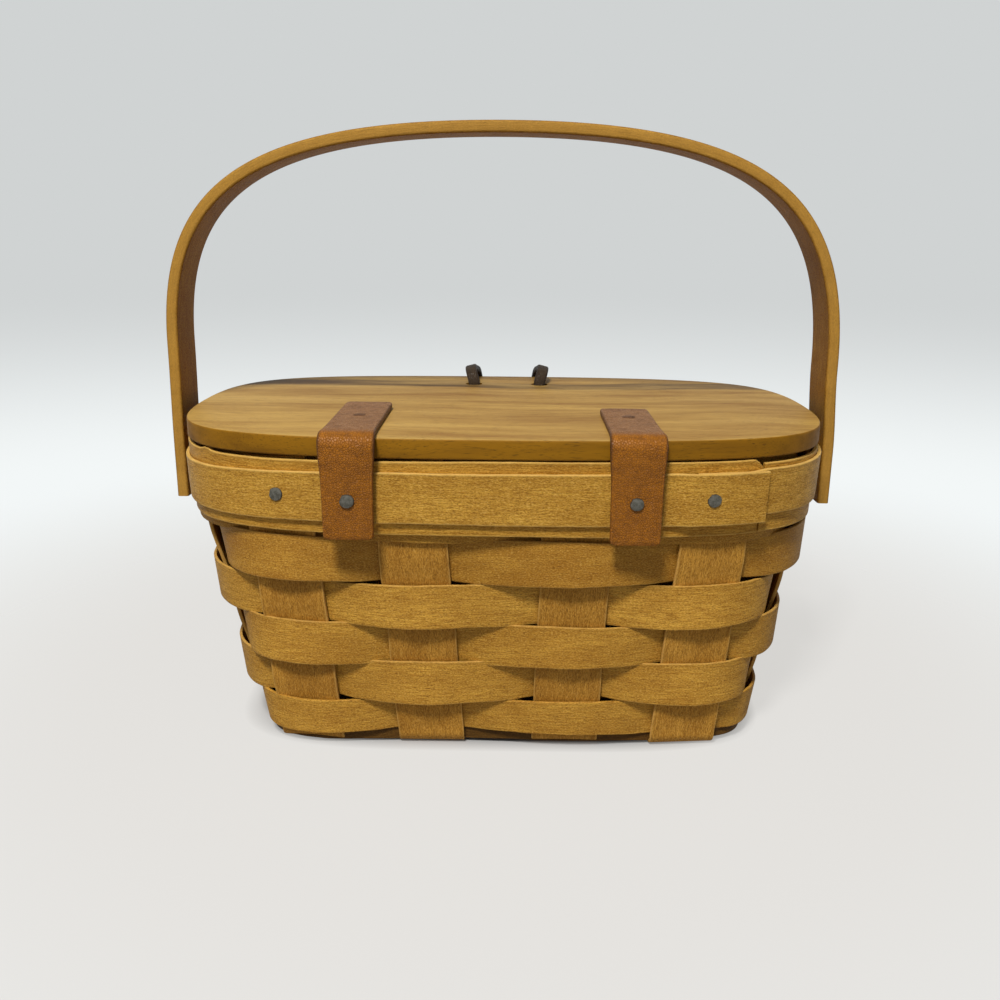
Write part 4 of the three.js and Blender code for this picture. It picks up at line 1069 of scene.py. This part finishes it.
FACE_COLOURS = ((190, 151, 76), (132, 91, 42), (78, 48, 20), (74, 50, 18))
EDGE_COLOURS = ((146, 100, 12), (104, 67, 7), (60, 37, 6), (104, 67, 7))
lid.data.materials.append(board_material("lid board face", FACE_COLOURS, 0.85, 0.55))
lid.data.materials.append(board_material("lid board edge", EDGE_COLOURS, 0.9, 0.6))
for face in lid.data.polygons:
    face.material_index = 0 if abs(face.normal.z) > 0.8 else 1

# %% [markdown]
# ## Leather straps
# Each hinge strap is one length of leather, from the tack on the lid, over the lid's edge and down the rim.
# A skin through rings of points makes it: the rings give the rounded ends, the soft edges and the bow where
# the leather stands off the lid's edge.

# %% Strap shape
STRAP_WIDTH, STRAP_THICKNESS = 15.9, 2.0
STRAP_PLACES = {"left": -44.6, "right": 39.3}
STRAP_REACH = {"left": -11.5, "right": -19.0}
STRAP_FOOT = {"left": 76.4, "right": 75.6}
STRAP_FRONT_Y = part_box("strap_tail_left")[0].y / MM - MIDDLE_Y
STRAP_MIDDLE_Y = STRAP_FRONT_Y + STRAP_THICKNESS / 2
BEND_RADIUS, STATIONS_ON_LID = 3.2, 60
LID_CORNER, RIM_CORNER = 2.6, 1.0
STRAP_TRIM, STRAP_TAPER, STRAP_SWELL, SWELL_BEYOND, SWELL_SPREAD = 0.25, 0.3, 0.6, 4, 7
NARROWEST_HALF, THIN_SHARE, THIN_ON_LID, THIN_ON_RIM = 0.6, 0.8, 0.8, 0.6
SECTION_STEPS = 5


def strap_line(side):
    """The middle of the strap in the plane of its length: y, z and the direction through it."""
    z_lid = LID_TOP + STRAP_THICKNESS / 2 + 0.1
    y_bend = STRAP_MIDDLE_Y + BEND_RADIUS
    line = [(y, z_lid, 0.0) for y in np.linspace(STRAP_REACH[side], y_bend, STATIONS_ON_LID)]
    for a in np.linspace(0, math.pi / 2, 14)[1:]:
        line.append((y_bend - BEND_RADIUS * math.sin(a), z_lid - BEND_RADIUS * (1 - math.cos(a)), a))
    for z in np.linspace(z_lid - BEND_RADIUS, STRAP_FOOT[side], 45)[1:]:
        line.append((STRAP_MIDDLE_Y, z, math.pi / 2))
    return np.array(line)


def strap_half_width(far, length, bend_at):
    """The strap is a little wider where it bends, narrows to the rim, and has rounded ends."""
    swell = STRAP_SWELL * math.exp(-(((far - bend_at - SWELL_BEYOND) / SWELL_SPREAD) ** 2))
    half = STRAP_WIDTH / 2 - STRAP_TRIM + swell
    half -= STRAP_TAPER * max(far - bend_at, 0) / (length - bend_at)
    for corner, from_end in ((LID_CORNER, far), (RIM_CORNER, length - far)):
        if from_end < corner:
            return half - corner + math.sqrt(max(corner**2 - (corner - from_end) ** 2, 0))
    return half


def section_ring(half_width, half_thickness, rounding=0.55):
    """The outline of a rounded rectangle: a place across and a place through for each point."""
    wide, thick = half_width - rounding, half_thickness - rounding
    ring = []
    for sx, st in QUARTERS:
        for k in range(SECTION_STEPS):
            turn = k / (SECTION_STEPS - 1) * math.pi / 2
            a, b = (math.cos(turn), math.sin(turn)) if sx * st > 0 else (math.sin(turn), math.cos(turn))
            ring.append((sx * (wide + rounding * a), st * (thick + rounding * b)))
    return np.array(ring)


def face_outward(mesh):
    shape = bmesh.new()
    shape.from_mesh(mesh)
    bmesh.ops.recalc_face_normals(shape, faces=shape.faces)
    shape.to_mesh(mesh)
    shape.free()


def skin(name, rings, grain, material, sharp_degrees=50):
    """A closed skin through rings of points, with its two ends filled."""
    count = len(rings[0])
    last = (len(rings) - 1) * count
    faces = []
    for start in range(0, last, count):
        for i in range(count):
            k = (i + 1) % count
            faces.append((start + i, start + k, start + count + k, start + count + i))
    faces += [tuple(reversed(range(count))), tuple(range(last, last + count))]
    mesh = new_mesh(name, np.concatenate(rings), faces=faces)
    keep(mesh, "grain", np.concatenate(grain) * MM)
    face_outward(mesh)
    mesh.materials.append(material)
    return finish_mesh(name, mesh, sharp_degrees)


# %% [markdown]
# Leather is not a flat brown. Its grain is a net of tiny cells, it creases where it bends, the cut edges are
# darker, and the part that lies on the lid is paler and pinker. The cells are a Voronoi pattern in the
# strap's own length and width, so that they bend with it.

# %% Leather material
CREASE_SCALE = (900, 240, 240)
LID_PART_FROM = (-0.004, 0.001)


def leather_material(name, colours, half_width):
    pale, deep, lid_part_colour, edge_colour = (colour(*rgb) for rgb in colours)
    material, tree = new_material(name, "Specular IOR Level", 0.28)
    place = add(tree, "ShaderNodeAttribute", attribute_name="grain").outputs["Vector"]
    cells = add(tree, "ShaderNodeTexVoronoi", {"Vector": place, "Scale": 1500.0}, feature="DISTANCE_TO_EDGE")
    pebbles = ranged(tree, cells.outputs["Distance"], 0.0, 0.18)
    cloud = noise(tree, place, 420.0, 6.0, 0.8)
    creases = noise(tree, vector(tree, "MULTIPLY", place, CREASE_SCALE), 1.0, 3.0)
    body = mixed(tree, ranged(tree, cloud, 0.35, 0.65, 0.3, 1.0), deep, pale)
    on_lid = ranged(tree, parts_of(tree, place)["X"], *LID_PART_FROM, 1.0, 0.0)
    lid_part_body = mixed(tree, ranged(tree, cloud, 0.3, 0.7), deep, lid_part_colour)
    worn = masks_of(tree, edge_group, place, {"Half width": half_width * MM, "Edge": 0.0006})["Worn"]
    look = layered(tree, mixed(tree, on_lid, body, lid_part_body), (
        (creases, 0.55, 0.75, 0, 0.45, deep),
        (pebbles, 0, 1, 0.28, 0, edge_colour),
        (worn, 0, 1, 0, 0.8, edge_colour),
    ))
    height = calc(tree, "SUBTRACT", pebbles, creases)
    finish_material(tree, look, ranged(tree, pebbles, 0, 1, 0.7, 0.48), height, 0.7, 0.00022)
    return material


strap_leather = leather_material("strap leather",
                                 ((168, 102, 10), (108, 61, 4), (172, 124, 76), (56, 28, 6)), STRAP_WIDTH / 2)


# %% Straps
def make_strap(side):
    line = strap_line(side)
    far = distances(line[:, :2])
    bend_at = far[STATIONS_ON_LID]
    rings, grain = [], []
    for (y, z, angle), distance in zip(line, far):
        half = max(strap_half_width(distance, far[-1], bend_at), NARROWEST_HALF)
        thin = THIN_SHARE if distance < THIN_ON_LID or far[-1] - distance < THIN_ON_RIM else 1.0
        section = section_ring(half, STRAP_THICKNESS / 2 * thin)
        across, through = section.T
        rings.append(np.column_stack([STRAP_PLACES[side] + across, y - through * math.sin(angle),
                                      z + through * math.cos(angle)]))
        grain.append(np.column_stack([np.full(len(section), distance - bend_at), section]))
    return skin(f"leather_strap_{side}", rings, grain, strap_leather)


straps = {side: make_strap(side) for side in STRAP_PLACES}
print("straps", {side: len(s.data.polygons) for side, s in straps.items()})

# %% [markdown]
# ## Turned pieces
# Tacks, rivets, washers and the knob are turned: a profile of radius and height spun round a line. The
# points are made directly, with one point at a pole, so that nothing has to be merged afterwards. A closed
# profile makes a washer.


# %% Turning
def turned(profile, sides, closed=False):
    points, rings = [], []
    for radius, height in profile:
        turns = [2 * math.pi * k / sides for k in range(sides if radius > 1e-6 else 1)]
        rings.append(list(range(len(points), len(points) + len(turns))))
        points += [(radius * math.cos(a), radius * math.sin(a), height) for a in turns]
    faces = []
    for lower, upper in list(zip(rings, rings[1:])) + ([(rings[-1], rings[0])] if closed else []):
        for i in range(sides):
            k = (i + 1) % sides
            corners = [ring[j % len(ring)] for ring, j in ((lower, i), (lower, k), (upper, k), (upper, i))]
            faces.append(tuple(dict.fromkeys(corners)))
    return np.array(points, float), rings, faces


def turned_piece(name, profile, seat, direction, material, sides=48, closed=False):
    """Turn a profile about a line that starts at the seat."""
    points, _, faces = turned(profile, sides, closed)
    turn = Vector((0, 0, 1)).rotation_difference(Vector(direction)).to_matrix()
    mesh = new_mesh(name, points @ np.array(turn).T + seat, faces=faces)
    face_outward(mesh)
    mesh.materials.append(material)
    return finish_mesh(name, mesh, 40)


def eased(radius, height, ease, steps=4):
    """The rounded shoulder of a turned piece, from its side to its top."""
    angles = np.linspace(0, math.pi / 2, steps)
    return [(radius - ease + ease * math.cos(a), height - ease + ease * math.sin(a)) for a in angles]


# %% [markdown]
# ## Metal
# The tacks are dull grey steel and the rivets dark copper. Both are old: the shine is broken up by fine
# scratches and darker spots, so colour and roughness come from the same speckle.


# %% Metal material
def metal_material(name, bright, dull, roughness):
    material, tree = new_material(name, "Metallic", 1.0)
    spots = noise(tree, add(tree, "ShaderNodeTexCoord").outputs["Object"], 900.0, 4.0, 0.7)
    look = mixed(tree, ranged(tree, spots, 0.35, 0.65), colour(*dull), colour(*bright))
    gloss = ranged(tree, spots, 0.3, 0.7, roughness + 0.15, roughness - 0.05)
    finish_material(tree, look, gloss, spots, 0.3, 0.00008)
    return material


tack_steel = metal_material("tack steel", (118, 115, 106), (88, 85, 76), 0.5)
dull_tack = metal_material("dull tack", (136, 100, 74), (96, 68, 50), 0.7)
rivet_copper = metal_material("rivet copper", (150, 96, 66), (74, 46, 32), 0.42)

# %% [markdown]
# A rivet is a domed head on a shank, hammered over a washer inside the rim. A second washer keeps the handle
# off the rim. Each is placed from the box of the part that it stands for.

# %% Rivets and washers
RIVET_SHANK, RIVET_HEAD, RIVET_HEAD_HEIGHT = 1.8, 5.5, 1.7
PEENED, PEENED_HEIGHT, PEENED_SHOULDER = (2.2, 2.8), 0.8, 0.85
DOME_FULLNESS, DOME_END, DOME_STEPS = 0.8, 1.5, 10
WASHER_HOLE, WASHER_EASE = 2.15, 0.25


def rivet_profile(shank):
    """The peened end, the shank and the domed head, from the inside out. The head's seat is at nought."""
    dome = [(RIVET_HEAD * math.cos(a) ** DOME_FULLNESS, RIVET_HEAD_HEIGHT * math.sin(a))
            for a in np.linspace(0, DOME_END, DOME_STEPS)]
    return [(0, -shank), (PEENED[0], -shank), (PEENED[1], PEENED_HEIGHT - shank),
            (RIVET_SHANK, PEENED_SHOULDER - shank), (RIVET_SHANK, 0), (RIVET_HEAD - 0.2, 0), *dome,
            (0, RIVET_HEAD_HEIGHT)]


def washer_profile(radius, thick):
    outer_edge = eased(radius, thick, WASHER_EASE)
    inner_edge = [(r, thick - h) for r, h in reversed(outer_edge)]
    return [(WASHER_HOLE, 0), *inner_edge, *outer_edge, (WASHER_HOLE, thick)]


turned_pieces = {}
for side, sign in (("left", -1), ("right", 1)):
    low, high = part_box(f"rivet_{side}")
    tip, inside = (low.x, high.x) if sign < 0 else (high.x, low.x)
    head_x = tip / MM - sign * RIVET_HEAD_HEIGHT
    y = (low.y + high.y) / 2 / MM - MIDDLE_Y
    profile = rivet_profile(abs(head_x - inside / MM))
    turned_pieces[f"rivet_{side}"] = turned_piece(f"rivet_piece_{side}", profile, (head_x, y, FASTENER_Z),
                                                  (sign, 0, 0), rivet_copper)
    for part in ("spacer", "burr"):
        low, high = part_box(f"{part}_{side}")
        profile = washer_profile((high.z - low.z) / 2 / MM, (high.x - low.x) / MM)
        seat = ((low.x if sign > 0 else high.x) / MM, y, FASTENER_Z)
        turned_pieces[f"{part}_{side}"] = turned_piece(f"{part}_washer_{side}", profile, seat, (sign, 0, 0),
                                                       rivet_copper, closed=True)
print("turned pieces", list(turned_pieces))

# %% [markdown]
# ## Handle
# The handle is one thick strip, steamed and bent: two legs and a flat crown between rounded shoulders. The
# same strip tree makes it, with a larger edge rounding. The legs of the real one aren't quite alike: the
# right one leans in more and its shoulder starts lower.

# %% Handle
HANDLE_THICKNESS = 3.8
HANDLE_FOOT_Z, HANDLE_STRAIGHT_TOP = 73.8, 92
HANDLE_CROWN_Z, HANDLE_CROWN_PULL = 195.3, 84
HANDLE_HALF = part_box("handle_hoop")[1].x / MM - HANDLE_THICKNESS / 2
# How far a leg leans in, the height where its shoulder starts, and how strongly it holds to the upright
LEFT_LEG, RIGHT_LEG = (0.4, 126, 49), (1.2, 120, 54)
FOOT_STATIONS, LEAN_STATIONS, ARCH_STATIONS = 12, 14, 70


def handle_half(lean, shoulder, pull):
    """One leg and its half of the crown, in the plane of the handle, from the foot up."""
    foot = [(HANDLE_HALF, z) for z in np.linspace(HANDLE_FOOT_Z, HANDLE_STRAIGHT_TOP, FOOT_STATIONS)]
    t = np.linspace(0, 1, LEAN_STATIONS)[1:]
    leaning = np.column_stack([HANDLE_HALF - lean * smooth(t),
                               np.linspace(HANDLE_STRAIGHT_TOP, shoulder, LEAN_STATIONS)[1:]])
    top = HANDLE_HALF - lean
    pulls = np.array([[top, shoulder], [top, shoulder + pull], [HANDLE_CROWN_PULL, HANDLE_CROWN_Z],
                      [0, HANDLE_CROWN_Z]])
    return np.array([*foot, *leaning, *bezier(np.linspace(0, 1, ARCH_STATIONS)[1:, None], pulls)])


def handle_line():
    left = handle_half(*LEFT_LEG) * (-1, 1)
    both = np.concatenate([handle_half(*RIGHT_LEG), left[-2::-1]])
    return np.column_stack([both[:, 0], np.zeros(len(both)), both[:, 1]])


handle_points = handle_line()
handle = bent_strip("handle_strip", handle_points, np.tile([0.0, 1.0, 0.0], (len(handle_points), 1)),
                    HANDLE_WIDTH, HANDLE_THICKNESS, handle_wood,
                    **{"Edge rounding": 0.0009, "Rounding steps": 5, "Sharpest bend": 0.9,
                       "Grain start": 90.0, "Tone": 0.55})
print("handle faces", len(handle.data.polygons))

# %% [markdown]
# ## Tacks
# Eight tacks hold the bands and the straps. Their heads are flat and hammered out of round. A Geometry Nodes
# tree puts one head on each point, turned to face outwards and with a size of its own.

# %% Tack head
TACK_HEAD, TACK_HEIGHT, TACK_SHANK, TACK_LENGTH, TACK_SIDES = 2.1, 0.8, 0.6, 4.5, 14
HEAD_RINGS = slice(3, 7)


def make_tack_head():
    profile = [(0, -TACK_LENGTH), (TACK_SHANK, -TACK_LENGTH), (TACK_SHANK, 0), (TACK_HEAD, 0),
               (TACK_HEAD, 0.3), (TACK_HEAD * 0.93, 0.62), (TACK_HEAD * 0.6, 0.78), (0, TACK_HEIGHT)]
    points, rings, faces = turned(profile, TACK_SIDES)
    hammered = 1 + np.random.default_rng(7).uniform(-0.07, 0.05, TACK_SIDES)
    for ring in rings[HEAD_RINGS]:
        points[ring, :2] *= hammered[:, None]
    mesh = bpy.data.meshes.new("tack_head")
    mesh.from_pydata(points * MM, [], faces)
    face_outward(mesh)
    return finish_mesh("tack_head", mesh, 35)


def make_tack_tree():
    inputs = [("Geometry", "Geometry"), ("Head", "Object"), ("Smallest", "Float", 0.94),
              ("Largest", "Float", 1.04), ("Seed", "Int", 3), ("Material", "Material")]
    tree, given, result = new_group("Tacks", "GeometryNodeTree", inputs, [("Geometry", "Geometry")])
    head = add(tree, "GeometryNodeObjectInfo", {"Object": given["Head"]}).outputs["Geometry"]
    outward = add(tree, "FunctionNodeAlignRotationToVector", {"Vector": named(tree, "facing")}, axis="Z")
    size = add(tree, "FunctionNodeRandomValue",
               {2: given["Smallest"], 3: given["Largest"], "Seed": given["Seed"]}, data_type="FLOAT")
    heads = add(tree, "GeometryNodeInstanceOnPoints",
                {"Points": given["Geometry"], "Instance": head, "Rotation": outward.outputs["Rotation"],
                 "Scale": size.outputs[1]})
    finish_tree(tree, heads.outputs["Instances"], given["Material"], result)
    return tree


tack_head = make_tack_head()
tack_tree = make_tack_tree()

# %% Tacks in place
BAND_TACKS = {"left": -65.7, "right": 61.5}


def put_tacks(name, seats, directions, seed, material):
    mesh = new_mesh(name, seats)
    keep(mesh, "facing", directions)
    return run_tree(name, mesh, tack_tree, {"Head": tack_head, "Seed": seed, "Material": material})


rim_nodes, rim_seats, rim_facing = [], [], []
for side, x in BAND_TACKS.items():
    for place, share in (("back", near_share(x, FASTENER_Z)), ("front", 1 - near_share(x, FASTENER_Z))):
        point, out = (v[0] for v in wall(share, FASTENER_Z))
        face = (LAP_OFFSET if (side, place) == ("right", "back") else OUTER_OFFSET) + BAND_THICKNESS / 2
        rim_nodes.append(f"band_tack_{place}_{side}")
        rim_seats.append(point + out * (face - 0.25))
        rim_facing.append(out)
for side, x in STRAP_PLACES.items():
    rim_nodes.append(f"strap_tack_rim_{side}")
    rim_seats.append((x, STRAP_FRONT_Y - 0.02, FASTENER_Z))
    rim_facing.append((0, -1, 0))
rim_tacks = put_tacks("rim_tacks", rim_seats, rim_facing, 3, tack_steel)
lid_nodes, lid_seats = [], []
for side, x in STRAP_PLACES.items():
    lid_nodes.append(f"strap_tack_lid_{side}")
    low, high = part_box(lid_nodes[-1])
    lid_seats.append((x, (low.y + high.y) / 2 / MM - MIDDLE_Y, LID_TOP + STRAP_THICKNESS - 0.4))
lid_tacks = put_tacks("lid_tacks", lid_seats, [(0, 0, 1)] * 2, 5, dull_tack)
bpy.data.objects.remove(tack_head)
print("tacks", len(rim_nodes) + len(lid_nodes))

# %% [markdown]
# ## Closure
# A thong of dark leather is knotted under two holes in the lid; its colour is darkened further as painted
# shade. It stands up in two humps, goes over the far edge and hooks round a turned knob. Its path is a smooth
# line through a few points of one half and their mirror image, and the same skin as the straps' goes round
# it, thicker at the knots.

# %% Thong path
KNOB_Z, KNOB_NECK = 88.0, 3.0
THONG_WIDTH, THONG_THICKNESS, THONG_STATIONS = 4.3, 2.2, 220
KNOT_LENGTH, KNOT_SWELL, KNOT_ROUNDNESS = 8.0, 2.1, 1.3
KNOB_SEAT_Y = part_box("closure_knob")[0].y / MM - MIDDLE_Y
THONG_FRONT_Y = KNOB_SEAT_Y + 0.3 + THONG_THICKNESS / 2
# Over the lid: outward from the hole, forward from it, and up. Down the rim: inward, and down from the top
OVER_LID = ((0, 0, 0.6), (0.9, 1.6, 3.8), (1.4, 6.2, 5.2), (0.9, 13, 4), (0, 18.4, 2.4))
DOWN_RIM = ((0.6, 1.2), (2.2, 7.5), (4.6, 13))
NECK_TURN = KNOB_NECK + 0.6 + THONG_WIDTH / 2


def thong_controls():
    half = [(THONG_HOLE_X, THONG_HOLE_Y, LID_UNDERSIDE - drop) for drop in (KNOT_LENGTH, 1)]
    half += [(THONG_HOLE_X + out, THONG_HOLE_Y + forward, LID_TOP + up) for out, forward, up in OVER_LID]
    half += [(THONG_HOLE_X - inward, THONG_FRONT_Y, LID_TOP - drop) for inward, drop in DOWN_RIM]
    half += [(NECK_TURN * math.cos(a), THONG_FRONT_Y, KNOB_Z - NECK_TURN * math.sin(a))
             for a in (0, math.pi / 4)]
    other = [(-x, y, z) for x, y, z in half]
    points = [*other, (0, THONG_FRONT_Y, KNOB_Z - NECK_TURN), *reversed(half)]
    return np.array(points) + (CLOSURE_X, 0, 0)


def rounded_line(controls, count):
    """A smooth line through the controls (centripetal Catmull-Rom), at equal steps."""
    ends = np.array([2 * controls[0] - controls[1], *controls, 2 * controls[-1] - controls[-2]])
    knots = np.concatenate([[0], np.cumsum(np.sqrt(np.linalg.norm(np.diff(ends, axis=0), axis=1)))])
    dense = []
    for i in range(1, len(ends) - 2):
        t = np.linspace(knots[i], knots[i + 1], 24, endpoint=False)[:, None]
        p, k = ends[i - 1:i + 3], knots[i - 1:i + 3]
        a = [((k[j + 1] - t) * p[j] + (t - k[j]) * p[j + 1]) / (k[j + 1] - k[j]) for j in range(3)]
        b = [((k[j + 2] - t) * a[j] + (t - k[j]) * a[j + 1]) / (k[j + 2] - k[j]) for j in range(2)]
        dense.append(((k[2] - t) * b[0] + (t - k[1]) * b[1]) / (k[2] - k[1]))
    line = np.concatenate([*dense, controls[-1:]])
    far = distances(line)
    where = np.linspace(0, far[-1], count)
    return np.column_stack([np.interp(where, far, line[:, i]) for i in range(3)]), far[-1]


# %% Thong
def make_thong(material):
    line, length = rounded_line(thong_controls(), THONG_STATIONS)
    rings, grain = [], []
    across = np.array([1.0, 0, 0])
    for i, (point, direction) in enumerate(zip(line, unit(np.gradient(line, axis=0)))):
        across = across - direction * np.dot(across, direction)
        across /= np.linalg.norm(across)
        through = np.cross(direction, across)
        share = i / (len(line) - 1)
        from_end = min(share, 1 - share) * length
        swell = math.sin(min(1, from_end / KNOT_LENGTH) * math.pi) * KNOT_SWELL
        section = section_ring(THONG_WIDTH / 2 + swell, THONG_THICKNESS / 2 + swell * KNOT_ROUNDNESS, 0.7)
        rings.append(point + across * section[:, :1] + through * section[:, 1:])
        grain.append(np.column_stack([np.full(len(section), share * length), section]))
    print("thong", round(length, 1), "mm long")
    return skin("thong_loop", rings, grain, material, 60)


# Dark brown leather, painted darker still as the shade it stands in
thong_leather = leather_material("thong leather", ((62, 45, 22), (36, 24, 11), (76, 56, 28), (36, 22, 14)),
                                 THONG_WIDTH / 2)
thong = make_thong(thong_leather)

# %% [markdown]
# The knob is turned from the handle's wood: a short neck under a mushroom head, seated on the rim. Its screw
# comes from inside. The wood material reads the grain place and the tone, so the knob stores both.

# %% Knob and screw
KNOB_HEAD, KNOB_LENGTH, NECK_LENGTH, KNOB_SIDES = 8.5, 10.0, 3.4, 64
HEAD_UNDER, HEAD_CURVE, HEAD_FROM, HEAD_STEPS, HEAD_FULLNESS = 2.2, 4.4, -0.5, 16, 0.75
NECK_FLARE, FLARE_LENGTH = 0.5, 0.4
SCREW_HEAD_HEIGHT = 1.4


def knob_profile():
    profile = [(0, 0), (KNOB_NECK, 0), (KNOB_NECK, NECK_LENGTH - FLARE_LENGTH),
               (KNOB_NECK + NECK_FLARE, NECK_LENGTH)]
    widest = NECK_LENGTH + HEAD_UNDER
    for turn in np.linspace(HEAD_FROM, math.pi / 2, HEAD_STEPS):
        rise = KNOB_LENGTH - NECK_LENGTH - HEAD_UNDER if turn >= 0 else HEAD_CURVE
        profile.append((KNOB_HEAD * math.cos(turn) ** HEAD_FULLNESS, widest + rise * math.sin(turn)))
    return [*profile[:-1], (0, KNOB_LENGTH)]


knob = turned_piece("turned_knob", knob_profile(), (CLOSURE_X, KNOB_SEAT_Y, KNOB_Z), (0, 1, 0), handle_wood,
                    KNOB_SIDES)
places = np.array([v.co for v in knob.data.vertices]) - (CLOSURE_X * MM, 0, KNOB_Z * MM)
keep(knob.data, "grain", places * (1, 0.4, 0.4))
keep(knob.data, "tone", np.full(len(places), 0.4), "FLOAT")
screw_profile = [(0, -8), (1.2, -8), (1.2, 0), (3.4, 0), (3.3, 0.5), (2.6, 1.1), (1.4, 1.38),
                 (0, SCREW_HEAD_HEIGHT)]
screw_seat = (CLOSURE_X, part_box("knob_screw")[0].y / MM - MIDDLE_Y + SCREW_HEAD_HEIGHT, KNOB_Z)
screw = turned_piece("knob_screw_head", screw_profile, screw_seat, (0, -1, 0), tack_steel, 32)
print("knob", len(knob.data.polygons), "faces, screw", len(screw.data.polygons))

# %% [markdown]
# ## What moves with what
# The basket stands still. The lid turns about the hinge line with its thong and tacks, and the handle turns
# about its rivets. The leather straps cross the hinge; they are left in place in the frame, outside both
# bodies.


def stands_for(piece, body, slot, *nodes):
    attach(piece, body)
    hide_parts(*nodes)


for row, weaver in enumerate(weavers):
    stands_for(weaver, "basket", "splint", f"weaver_{row}")
for number, upright in enumerate(uprights):
    node = f"upright_{number + 1}" if number < 4 else f"end_upright_{number - 3}"
    stands_for(upright, "basket", "splint", node)
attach(foot_splint, "basket")
stands_for(inner, "basket", "splint", "inner_band")
stands_for(under, "basket", "splint", "under_band")
stands_for(outer, "basket", "splint", "outer_band")
stands_for(lid, "lid", "board", "lid_board")
stands_for(handle, "handle", "bentwood", "handle_hoop")
stands_for(rim_tacks, "basket", "tack", *rim_nodes)
stands_for(lid_tacks, "lid", "tack", *lid_nodes)
stands_for(thong, "lid", "thong", "closure_thong")
stands_for(knob, "basket", "bentwood", "closure_knob")
stands_for(screw, "basket", "tack", "knob_screw")
for node, piece in turned_pieces.items():
    stands_for(piece, "basket", "rivet", node)
for side, strap in straps.items():
    x = STRAP_PLACES[side] * MM
    y = (STRAP_MIDDLE_Y + MIDDLE_Y) * MM
    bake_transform(strap)
    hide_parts(f"strap_wrap_{side}", f"strap_tail_{side}")
